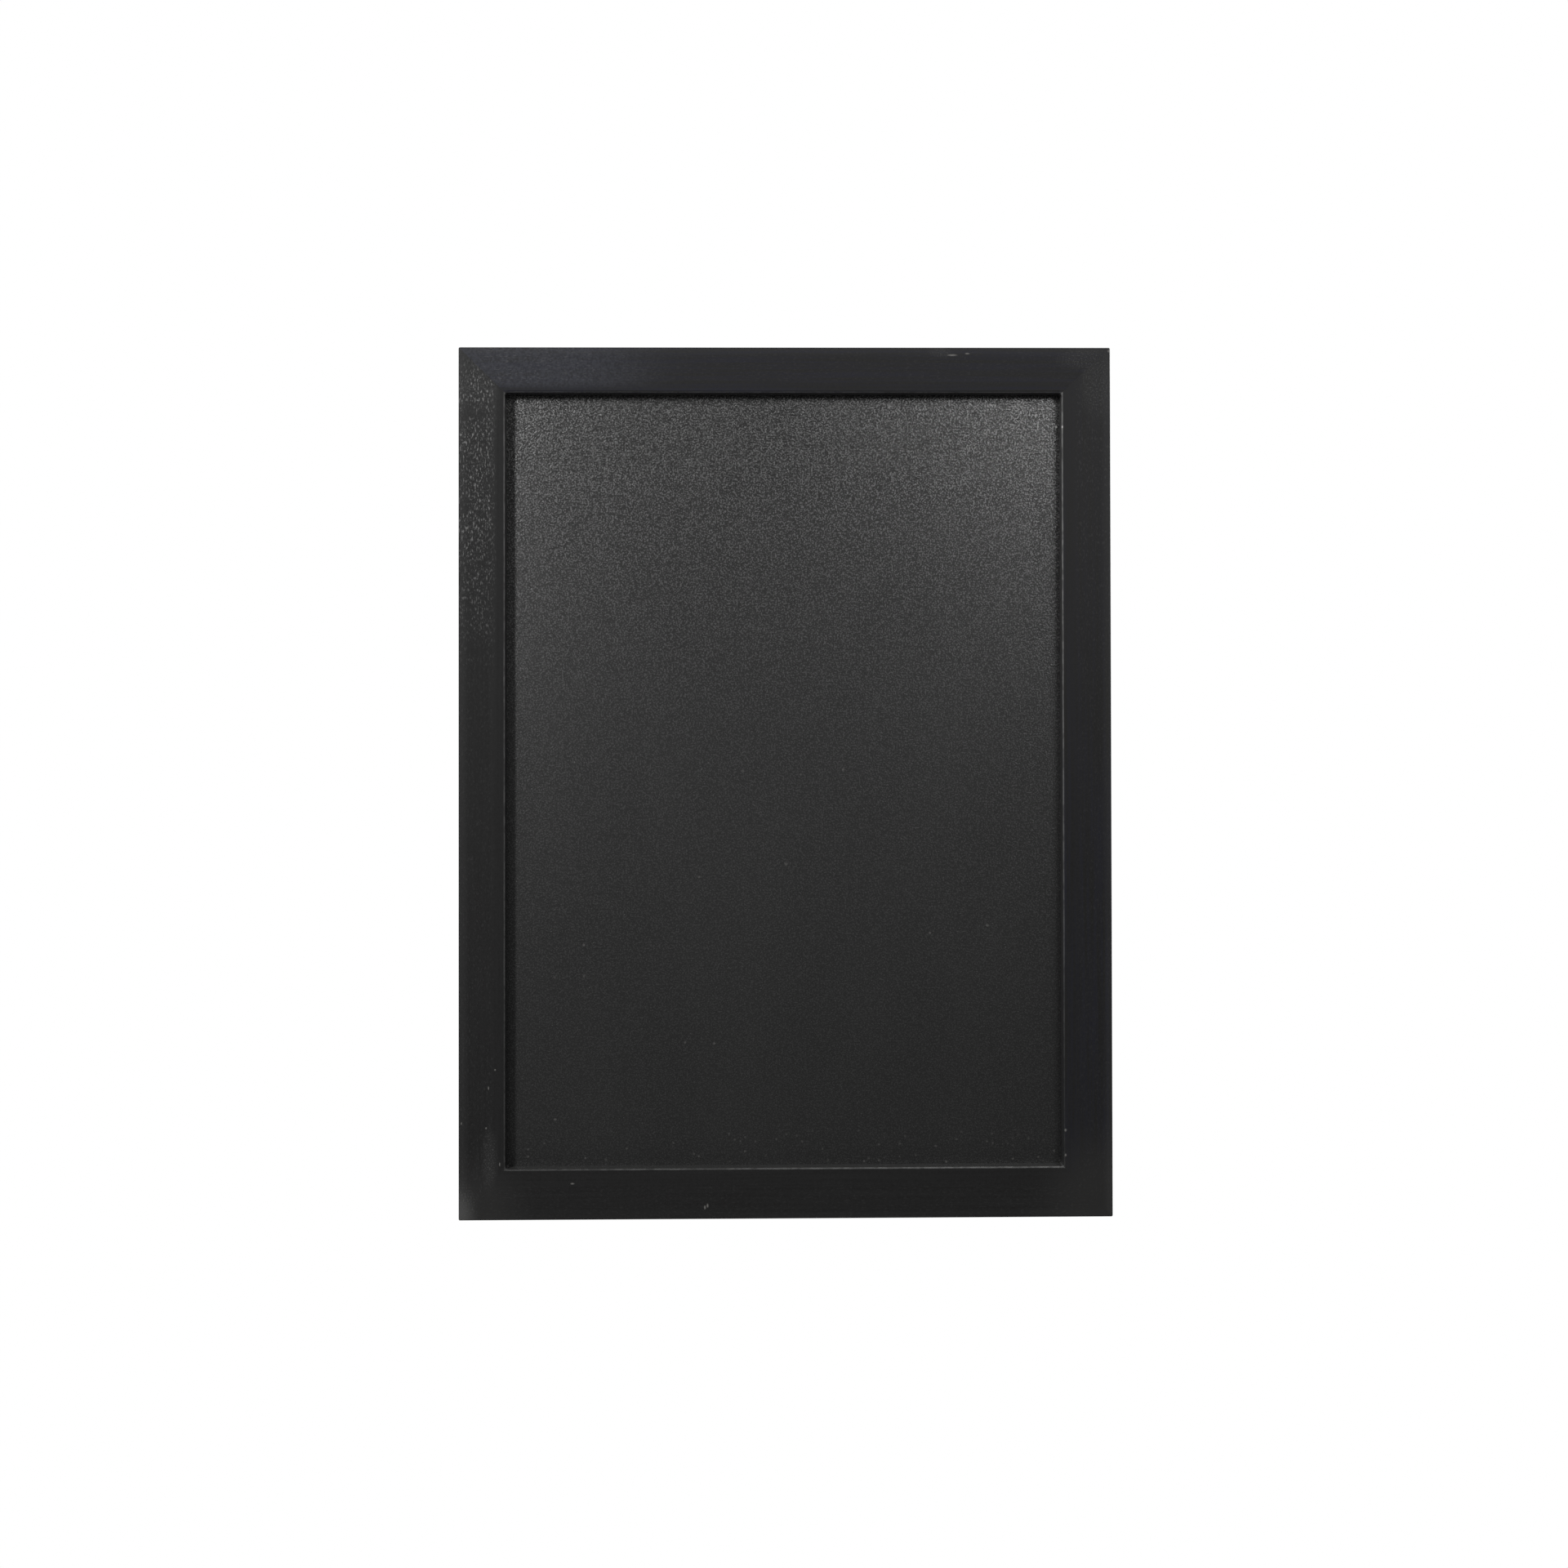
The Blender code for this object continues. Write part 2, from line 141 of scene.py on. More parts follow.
seen = add_node(
    tree, "ShaderNodeMixShader", {0: meets_white(tree, behind), 1: dim.outputs[0], 2: white.outputs[0]}
)
add_node(tree, "ShaderNodeOutputWorld", {"Surface": seen.outputs[0]})

bpy.ops.object.select_all(action="DESELECT")
bpy.ops.mesh.primitive_circle_add(
    vertices=FLOOR_SIDES, radius=FLOOR_RADIUS, fill_type="NGON", location=(0, 0, cad_low.z - FLOOR_DROP)
)
floor = bpy.context.object
floor.name = "studio_floor"
bpy.ops.object.transform_apply(location=True, rotation=True, scale=True)
floor_paint = bpy.data.materials.new("pale_floor")
floor_paint.use_nodes = True
tree = floor_paint.node_tree
tree.nodes.clear()
place = add_node(tree, "ShaderNodeTexCoord")
flat = add_node(
    tree, "ShaderNodeVectorMath", {0: place.outputs["Object"], 1: (1, 1, 0)}, operation="MULTIPLY"
)
outward = add_node(tree, "ShaderNodeVectorMath", {0: flat.outputs[0]}, operation="LENGTH")
rim = add_node(
    tree, "ShaderNodeMapRange",
    {"Value": outward.outputs["Value"], "From Min": FLOOR_FADE[0], "From Max": FLOOR_FADE[1]},
    interpolation_type="SMOOTHSTEP",
)
heading = add_node(tree, "ShaderNodeSeparateXYZ", {"Vector": place.outputs["Object"]})
behind = maths(tree, "GREATER_THAN", heading.outputs["Y"], 0.0)
pale = maths(tree, "MAXIMUM", rim.outputs["Result"], FLOOR_PALENESS)
fade = maths(tree, "MULTIPLY", pale, meets_white(tree, behind))
paint = add_node(tree, "ShaderNodeBsdfDiffuse", {"Color": FLOOR_COLOUR})
white = add_node(tree, "ShaderNodeEmission", {"Color": WHITE, "Strength": 1.0})
mixed = add_node(tree, "ShaderNodeMixShader", {0: fade, 1: paint.outputs[0], 2: white.outputs[0]})
add_node(tree, "ShaderNodeOutputMaterial", {"Surface": mixed.outputs[0]})
floor.data.materials.append(floor_paint)
floor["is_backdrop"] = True

# Softboxes: one on each side of the camera, higher than the board, whose light falls down across it
# and past the lip of the frame, and a pair behind for its back. Each has a place, a size and a power.
SOFTBOXES = {
    "front_left": ((-0.715, -1.41, 0.626), (0.16, 0.50), 20.6),
    "front_right": ((0.509, -1.41, 0.626), (0.46, 0.50), 6.9),
    "back_left": ((-0.95, 1.20, 0.90), (0.80, 0.80), 15.0),
    "back_right": ((0.95, 1.20, 0.60), (0.80, 0.80), 12.0),
}

for name, (place, (width, height), power) in SOFTBOXES.items():
    aim = (-Vector(place)).to_track_quat("-Z", "Y")
    bpy.ops.object.light_add(type="AREA", location=place, rotation=aim.to_euler())
    softbox = bpy.context.object
    softbox.name = f"softbox_{name}"
    softbox.data.shape = "RECTANGLE"
    softbox.data.size = width
    softbox.data.size_y = height
    softbox.data.energy = power
    softbox.visible_camera = False

# Frame rails: four lengths of wood under black lacquer, mitred and glued at the corners. Each has a lip in
# front that laps over the panel, sanded rounder on the top rail. Lacquer has filled the inner corners.
RAIL_TURNS = {"top": 0, "right": 90, "bottom": 180, "left": 270}
RAIL_NEIGHBOURS = {
    "top": ("left", "right"), "right": ("top", "bottom"),
    "bottom": ("right", "left"), "left": ("bottom", "top"),
}
SIDE_SIGNS = {"left": -1, "right": 1, "bottom": -1, "top": 1}
FACE_WIDTHS = {"top": 0.0210, "right": 0.0225, "bottom": 0.0232, "left": 0.0213}
LIP_WIDTH = 0.006
LIP_DEPTH = 0.010
OUTER_ARRIS = 0.0006
INNER_ARRIS = {"top": 0.0012, "right": 0.0006, "bottom": 0.0006, "left": 0.0005}
BACK_ARRIS = 0.0004
OUTER_STEPS, INNER_STEPS, BACK_STEPS = 5, 7, 3
FACE_CROWN = 0.00010
CROWN_ROWS = 8
ARRIS_HOLD = 0.00015
INNER_CORNER_FILL = 0.0014
OUTER_CORNER_WEAR = 0.0009
CORNER_STEPS = 5
CUT_PAST = 0.001
ROD_SIDES, POST_SIDES = 48, 64
MITRE_SEAM = 0.000002
MITRE_WASTE = 0.005
NAIL_PLAY = 0.00006
NEAR = 1e-6
MITRE_NEAR = 5e-6
FACING = 0.9
RAIL_SMOOTH = math.radians(25)

board_width = cad_high.x - cad_low.x
board_height = cad_high.z - cad_low.z
rail_low, rail_high = (Vector(corner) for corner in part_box("rail_top"))
land_width = rail_high.z - rail_low.z - LIP_WIDTH
rail_front = rail_low.y
rail_back = rail_high.y


def pick(piece, kind, test):
    """Selects, in edit mode, only the vertices, edges or faces that pass a test."""
    bpy.ops.mesh.select_mode(type=kind)
    bpy.ops.mesh.select_all(action="DESELECT")
    shape = bmesh.from_edit_mesh(piece.data)
    for item in {"VERT": shape.verts, "EDGE": shape.edges, "FACE": shape.faces}[kind]:
        if test(item):
            item.select_set(True)
    shape.select_flush_mode()
    bmesh.update_edit_mesh(piece.data)


def only(piece):
    """Makes a piece the one that is selected and active."""
    bpy.ops.object.select_all(action="DESELECT")
    bpy.context.view_layer.objects.active = piece
    piece.select_set(True)


def apply_place(piece):
    """Moves a piece's place, turn and scale into its mesh."""
    only(piece)
    bpy.ops.object.transform_apply(location=True, rotation=True, scale=True)


def carve(piece, cutter):
    """Cuts the shape of another object out of a piece, and removes that object."""
    only(piece)
    cut = piece.modifiers.new("cut", "BOOLEAN")
    cut.operation = "DIFFERENCE"
    cut.solver = "EXACT"
    cut.object = cutter
    bpy.ops.object.modifier_apply(modifier=cut.name)
    bpy.data.objects.remove(cutter)


def add_rod(radius, depth, place, sides=ROD_SIDES):
    """A round rod along Y."""
    bpy.ops.object.select_all(action="DESELECT")
    bpy.ops.mesh.primitive_cylinder_add(
        vertices=sides, radius=radius, depth=depth, location=place, rotation=(math.radians(90), 0, 0)
    )
    rod = bpy.context.object
    apply_place(rod)
    return rod


def lies_at(edge, y, z):
    """Whether an edge runs along X at this depth and height."""
    return all(abs(v.co.y - y) < NEAR and abs(v.co.z - z) < NEAR for v in edge.verts)


def cut_across(place, normal, **options):
    """Cuts every face of the mesh in edit mode along a plane."""
    bpy.ops.mesh.select_all(action="SELECT")
    bpy.ops.mesh.bisect(plane_co=place, plane_no=normal, **options)


def corner_columns(radius):
    """The columns of a round corner, short of its mitre: how far each is from the corner, and its curl."""
    turns = [math.radians(45) * step / CORNER_STEPS for step in range(CORNER_STEPS)]
    return [(radius * (1 - math.sin(turn)), radius * (1 - math.cos(turn))) for turn in turns]


def crown_fall(height, width):
    """How far the slightly crowned face of a rail of this width lies behind its middle, at a height."""
    return FACE_CROWN * (1 + 2 * height / width) ** 2


def make_rail(side):
    """One rail, modelled along X with its outer edge at z = 0, and then turned to its side of the board."""
    upright = side in ("left", "right")
    length = board_height if upright else board_width
    reach = (board_width if upright else board_height) / 2
    width = FACE_WIDTHS[side]
    inner_arris = INNER_ARRIS[side]
    bpy.ops.object.select_all(action="DESELECT")
    bpy.ops.mesh.primitive_cube_add(
        size=1, location=(0, rail_front + LIP_DEPTH / 2, -width / 2),
        scale=(length + 2 * MITRE_WASTE, LIP_DEPTH, width),
    )
    rail = bpy.context.object
    rail.name = f"lacquered_rail_{side}"
    apply_place(rail)
    bpy.ops.object.mode_set(mode="EDIT")
    cut_across((0, 0, -land_width), (0, 0, 1))
    pick(rail, "FACE", lambda f: f.normal.y > FACING and f.calc_center_median().z > -land_width)
    bpy.ops.mesh.extrude_region_move(
        TRANSFORM_OT_translate={"value": (0, rail_back - rail_front - LIP_DEPTH, 0)}
    )
    for arris, segments, depth, height in (
        (OUTER_ARRIS, OUTER_STEPS, rail_front, 0),
        (inner_arris, INNER_STEPS, rail_front, -width),
        (BACK_ARRIS, BACK_STEPS, rail_back, 0),
    ):
        pick(rail, "EDGE", lambda e: lies_at(e, depth, height))
        bpy.ops.mesh.bevel(offset=arris, segments=segments, profile=0.5, affect="EDGES")
    flat = width - OUTER_ARRIS - inner_arris
    inner_edge = inner_arris - width
    rows = [-OUTER_ARRIS - flat * row / CROWN_ROWS for row in range(1, CROWN_ROWS)]
    rows += [-OUTER_ARRIS - ARRIS_HOLD, inner_edge + ARRIS_HOLD]
    for height in rows:
        cut_across((0, 0, height), (0, 0, 1))
    for end, neighbour in zip((-1, 1), RAIL_NEIGHBOURS[side]):
        tip = (end * (length / 2 - MITRE_SEAM), 0, 0)
        cut_across(tip, (end * width, 0, -FACE_WIDTHS[neighbour]), clear_outer=True, use_fill=True)
        for away, _ in corner_columns(INNER_CORNER_FILL):
            cut_across((end * (length / 2 - FACE_WIDTHS[neighbour] - away), 0, 0), (1, 0, 0))
    for height in rows:
        pick(rail, "VERT", lambda v: abs(v.co.z - height) < NEAR and v.co.y < rail_front + NEAR)
        bpy.ops.transform.translate(value=(0, crown_fall(height, width), 0))
    pick(rail, "VERT", lambda v: v.co.z > -OUTER_ARRIS - NEAR and v.co.y < rail_front + OUTER_ARRIS + NEAR)
    bpy.ops.transform.translate(value=(0, crown_fall(-OUTER_ARRIS, width), 0))
    pick(rail, "VERT", lambda v: v.co.z < inner_edge + NEAR and v.co.y < rail_front + inner_arris + NEAR)
    bpy.ops.transform.translate(value=(0, crown_fall(inner_edge, width), 0))
    for end, neighbour in zip((-1, 1), RAIL_NEIGHBOURS[side]):
        slope = FACE_WIDTHS[neighbour] / width
        for away, curl in corner_columns(INNER_CORNER_FILL):
            across = end * (length / 2 - FACE_WIDTHS[neighbour] - away)
            pick(rail, "VERT", lambda v: abs(v.co.x - across) < NEAR and v.co.z < inner_edge + NEAR)
            bpy.ops.transform.translate(value=(0, 0, -curl))
        pick(
            rail, "VERT",
            lambda v: v.co.z < inner_edge + NEAR
            and abs(end * v.co.x - length / 2 - slope * v.co.z) < MITRE_NEAR,
        )
        fill = INNER_CORNER_FILL * (1 - math.cos(math.radians(45)))
        bpy.ops.transform.translate(value=(-end * slope * fill, 0, -fill))
    bpy.ops.object.mode_set(mode="OBJECT")
    turn = math.radians(RAIL_TURNS[side])
    rail.rotation_euler = (0, turn, 0)
    rail.location = Matrix.Rotation(turn, 3, "Y") @ Vector((0, 0, reach))
    apply_place(rail)
    return rail


def nail_slot(node):
    """A cutter of a corner nail's shape, a little larger than the nail."""
    slot = frame["nodes"][node].copy()
    slot.data = slot.data.copy()
    slot.parent = None
    scene.collection.objects.link(slot)
    slot.hide_set(False)
    only(slot)
    bpy.ops.object.mode_set(mode="EDIT")
    bpy.ops.mesh.select_all(action="SELECT")
    bpy.ops.mesh.remove_doubles(threshold=NEAR)
    bpy.ops.mesh.normals_make_consistent(inside=False)
    bpy.ops.transform.shrink_fatten(value=NAIL_PLAY, use_even_offset=True)
    bpy.ops.object.mode_set(mode="OBJECT")
    return slot


def corner_nip(across, up):
    """A cutter for what has worn off one outer corner of the frame: a square block, less a round post."""
    side = OUTER_CORNER_WEAR + CUT_PAST
    depth = 2 * (rail_back - rail_front)
    post = Vector((
        across * (board_width / 2 - OUTER_CORNER_WEAR), 0, up * (board_height / 2 - OUTER_CORNER_WEAR)
    ))
    round_post = add_rod(OUTER_CORNER_WEAR, 2 * depth, post, POST_SIDES)
    bpy.ops.object.select_all(action="DESELECT")
    bpy.ops.mesh.primitive_cube_add(
        size=1, location=post + Vector((across * side / 2, 0, up * side / 2)), scale=(side, depth, side)
    )
    block = bpy.context.object
    apply_place(block)
    carve(block, round_post)
    return block


rails = {side: make_rail(side) for side in RAIL_TURNS}
for side, rail in rails.items():
    for node in frame["nodes"]:
        if node.startswith("corner_nail") and side in node:
            carve(rail, nail_slot(node))
    for neighbour in RAIL_NEIGHBOURS[side]:
        flat_side, upright_side = (side, neighbour) if side in ("top", "bottom") else (neighbour, side)
        carve(rail, corner_nip(SIDE_SIGNS[upright_side], SIDE_SIGNS[flat_side]))
    only(rail)
    bpy.ops.object.shade_smooth_by_angle(angle=RAIL_SMOOTH)
    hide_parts(f"rail_{side}")
    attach(rail, "board")

# Black lacquer: sprayed on, thin enough for the wood's pores to show along each rail. Pale flecks along the
# pores, most of them up the left rail, are painted glints. A bluish painted sheen lies on the top left
# corner and stops short of the top rail's inner arris, leaving a darker band there as painted shade; dust
# lies in two other corners. The inner arrises carry painted highlight lines and the outer edges a faint
# painted sheen. The top rail and the upper right rail are painted paler where the lamps fall, the bottom
# corners are faded, the inner walls are lighter with dust on the bottom ledge and with painted light on
# every wall, and small knocks show pale.
LACQUER_BLACK = (0.0102, 0.0100, 0.0100, 1)
LACQUER_TINTS = {
    "top": (0.0110, 0.0112, 0.0182, 1), "right": (0.0113, 0.0115, 0.0158, 1),
    "bottom": (0.0120, 0.0120, 0.0120, 1), "left": (0.0118, 0.0118, 0.0118, 1),
}
LACQUER_MOTTLE = (0.0154, 0.0153, 0.0155, 1)
# Painted sheen: a pale bluish tone on the top rail and a grey one on the left rail, at the top left corner
# where the upper left softbox shines.
SHEEN_BLUE = (0.0330, 0.0343, 0.0425, 1)
SHEEN_GREY = (0.0350, 0.0350, 0.0350, 1)
# Paler black: painted light on the top rail and the upper part of the right rail, where the lamps above
# fall, and real fading on the two bottom corners.
FADED_AND_LIT_BLACK = (0.0185, 0.0183, 0.0182, 1)
# Painted glints: the pale grey of the glinting pores, mostly up the left rail, where the upper left softbox
# catches them.
GLINT_GREY = (0.270, 0.270, 0.268, 1)
# Painted highlight: the grey of the highlight lines along the inner arrises, also used for the faint painted
# sheen on the outer edges.
HIGHLIGHT_GREY = (0.150, 0.150, 0.149, 1)
# Grey of real dust in the corners, also used to paint light on the inner walls of the lips.
DUST_AND_WALL_LIGHT_GREY = (0.066, 0.066, 0.065, 1)
KNOCK_PALE = (0.11, 0.107, 0.103, 1)
NICK_PALE = (0.46, 0.45, 0.44, 1)
LACQUER_ROUGHNESS = 0.43
LACQUER_SHINE = 0.10
# The bump raises the painted pore glints a little.
GLINT_RELIEF = 0.00003
TOOTH_DEPTH = 0.00002
PORES = (700, 14)
# Grain of the painted pore glints: dashes along the rail, their clusters, and finer dots.
DASHES = (1500, 560)
DASH_CLUSTERS = (160, 90)
MOTTLE_GRAIN = 1000
DOT_GLINT_GRAIN = 1900
DUST_GRAIN = 1500
HIGHLIGHT_PATCH_GRAIN = 320
KNOCK_GRAIN = 2600
TOOTH_GRAIN = 1500
WAVER_GRAIN = 90
PORE_RANGE = (0.35, 0.65)
MOTTLE_RANGE = (0.25, 0.75)
MOTTLE_SHARE = 0.45
SHEEN_UNEVEN = (1.0, 0.45)
# Patchiness of the painted arris highlights.
PATCH_RANGE = (0.32, 0.62)
HIGHLIGHT_PATCHINESS = (0.6, 0.6)
DOT_GLINT_RANGE = (0.48, 0.72)
DOT_GLINT_SHARE = 0.22
DASH_RANGE = (0.55, 0.68)
CLUSTER_RANGE = (0.22, 0.54)
DUST_RANGE = (0.50, 0.68)
DUST_SPECKLE = (0.85, 0.15)
DUST_ROUGHNESS = 0.25
PORE_ROUGHNESS = 0.06
KNOCK_RANGE = (0.2, 0.42)
SPOT_CORE = 0.3
SPOT_DEPTH = 0.004
CLOUD_DEPTH = 0.03
NICK_DEPTH = 0.0012
GLINT_WIDTH = (0.0180, 0.0140)
# How far short of the inner arris the painted sheen stops. The darker band left there is painted shade.
SHEEN_END = (0.0012, 0.0042)
ARRIS_START = (0.0008, 0.0004)
ARRIS_DEPTH = (0.0010, 0.0006)
ARRIS_WAVER = 0.0004
EDGE_WIDTH = (0.0050, 0.0012)
WALL_START = (0.0012, 0.0004)
GLINTS_END = (0.003, 0.016)
GLINTS_DEPTH = (0.010, 0.004)
# How strongly each rail takes the painted sheen of the upper left softbox.
SHEEN = {"top": 0.56, "right": 0.0, "bottom": 0.0, "left": 0.27}
# Painted pore glints: how strong they are from one end of each rail to the other.
GLINTS_ALONG = {
    "top": ((-0.05, 0.02), (-0.13, 0.10)),
    "right": ((0.0, 0.02), (0.15, 0.04)),
    "bottom": ((0.0, 0.02), (0.1, 0.02)),
    "left": ((0.05, 0.03), (0.12, 0.45)),
}
# Painted highlight on each inner arris: its strength from one end of the rail to the other, as the lamps
# catch it.
ARRIS_HIGHLIGHT = {
    "top": ((-0.14, 0.18), (0.13, 0.18)),
    "right": ((-0.14, 0.08), (0.13, 0.80)),
    "bottom": ((-0.12, 0.22), (0.12, 0.68)),
    "left": ((-0.14, 0.16), (0.13, 0.42)),
}
# Painted light along each rail: how much paler black it takes from one place to another along it, as the
# lamps above fall on it.
FACE_LIGHT = {
    "top": ((-0.10, 0.15), (0.10, 0.25)),
    "right": ((-0.04, 0.0), (0.12, 0.56)),
    "bottom": ((-0.10, 0.0), (0.10, 0.0)),
    "left": ((-0.10, 0.0), (0.10, 0.0)),
}
# Painted sheen near the outer edge of each rail's face, where the crowned face turns to the light.
EDGE_SHEEN = {"top": 0.042, "right": 0.045, "bottom": 0.012, "left": 0.045}
# How much the inner wall of each lip is lightened: partly real dust on the bottom ledge, and painted light
# on every wall.
WALL_DUST_AND_LIGHT = {"top": 0.25, "right": 0.30, "bottom": 0.45, "left": 0.25}
# Where the painted sheen of the upper left softbox lies.
SHEEN_PLACE = [(-0.120, 0.192, 0.078, 0.036)]
FADED = [(0.147, -0.196, 0.040, 0.045), (-0.147, -0.196, 0.035, 0.030)]
DUST = [(-0.1510, -0.1950, 0.0120, 0.0160)]
THIN_DUST = [
    (-0.1358, -0.1720, 0.0046, 0.0180),
    (0.1440, 0.1840, 0.0100, 0.0230), (0.1380, 0.1950, 0.0160, 0.0065), (0.0715, 0.1980, 0.0070, 0.0036),
]
THIN_DUST_SHARE = 0.55
SMEARS = [(-0.1530, -0.1980, 0.0130, 0.0160)]
SMEAR_SHARE = 0.75
KNOCKS = {
    "top": [(0.0770, 0.1965, 0.0030, 0.0006), (0.0840, 0.1972, 0.0014, 0.0005)],
    "right": [
        (0.1283, -0.1602, 0.0007, 0.0009), (0.1283, -0.1716, 0.0006, 0.0009),
        (0.1495, 0.1985, 0.0009, 0.0010),
    ],
    "bottom": [
        (-0.0980, -0.1834, 0.0012, 0.0005), (-0.0374, -0.1946, 0.0006, 0.0012),
        (-0.0362, -0.1938, 0.0006, 0.0012),
    ],
    "left": [
        (-0.1363, -0.1396, 0.0004, 0.0011), (-0.1333, -0.1313, 0.0005, 0.0006),
        (-0.1374, -0.1579, 0.0005, 0.0006), (-0.1487, -0.1557, 0.0004, 0.0008),
        (-0.1312, -0.1744, 0.0004, 0.0012),
    ],
}
NICKS = [(0.1277, 0.1634, 0.0006, 0.0008)]


def new_material(name):
    """A new material, its node tree, its shader, and the place on the piece that its patterns read."""
    made = bpy.data.materials.new(name)
    made.use_nodes = True
    tree = made.node_tree
    place = add_node(tree, "ShaderNodeTexCoord").outputs["Object"]
    return made, tree, tree.nodes["Principled BSDF"], place


def new_group(name, inputs, outputs):
    """A new node group with these sockets, each a name with its kind, and the values that it is given."""
    made = bpy.data.node_groups.new(name, "ShaderNodeTree")
    for direction, sockets in (("INPUT", inputs), ("OUTPUT", outputs)):
        for socket, kind in sockets.items():
            made.interface.new_socket(socket, in_out=direction, socket_type=f"NodeSocket{kind}")
    return made, add_node(made, "NodeGroupInput").outputs


def mix_colours(tree, share, first, second):
    """Two colours mixed by a share of the second."""
    return add_node(tree, "ShaderNodeMix", {0: share, 6: first, 7: second}, data_type="RGBA").outputs[2]


def spread(tree, value, low, high):
    """A value brought to 0 at low and 1 at high, with a soft start and end."""
    made = add_node(
        tree, "ShaderNodeMapRange", {"Value": value, "From Min": low, "From Max": high},
        interpolation_type="SMOOTHSTEP",
    )
    return made.outputs["Result"]


def graded(tree, value, first, second):
    """A share that goes evenly between two places, each given as the value there and its share."""
    made = add_node(
        tree, "ShaderNodeMapRange",
        {
            "Value": value, "From Min": first[0], "From Max": second[0],
            "To Min": first[1], "To Max": second[1],
        },
    )
    return made.outputs["Result"]


def emboss(tree, shader, height, depth, strength=1.0):
    """Gives a surface the relief of a height, this deep."""
    relief = add_node(tree, "ShaderNodeBump", {"Strength": strength, "Distance": depth, "Height": height})
    tree.links.new(relief.outputs["Normal"], shader.inputs["Normal"])


def product(tree, first, *others):
    """The product of values or outputs."""
    for other in others:
        first = maths(tree, "MULTIPLY", first, other)
    return first


def stretched_noise(tree, place, scale, detail=2.0, offset=(0, 0, 0)):
    """Noise whose number of grains to the metre is given for each axis, or once for all of them."""
    grains = scale if isinstance(scale, tuple) else (scale, scale, scale)
    mapped = add_node(tree, "ShaderNodeMapping", {"Vector": place, "Scale": grains, "Location": offset})
    noise = add_node(
        tree, "ShaderNodeTexNoise", {"Vector": mapped.outputs[0], "Scale": 1.0, "Detail": detail}
    )
    return noise.outputs[0]


spot, given = new_group(
    "spot", {"Place": "Vector", "Middle": "Vector", "Reach": "Vector"}, {"Mask": "Float"}
)
away = add_node(spot, "ShaderNodeVectorMath", {0: given["Place"], 1: given["Middle"]}, operation="SUBTRACT")
shares = add_node(spot, "ShaderNodeVectorMath", {0: away.outputs[0], 1: given["Reach"]}, operation="DIVIDE")
distance = add_node(spot, "ShaderNodeVectorMath", {0: shares.outputs[0]}, operation="LENGTH")
add_node(spot, "NodeGroupOutput", {"Mask": spread(spot, distance.outputs["Value"], 1.0, SPOT_CORE)})


def spots(tree, place, marks, depth=SPOT_DEPTH, sunk=0.0):
    """A mask of soft spots on the frame's face or sunk behind it, each at x and z with its reach there."""
    mask = 0.0
    for x, z, wide, high in marks:
        made = add_node(
            tree, "ShaderNodeGroup",
            {"Place": place, "Middle": (x, rail_front + sunk, z), "Reach": (wide, depth, high)},
            node_tree=spot,
        )
        mask = maths(tree, "MAXIMUM", mask, made.outputs["Mask"])
    return mask


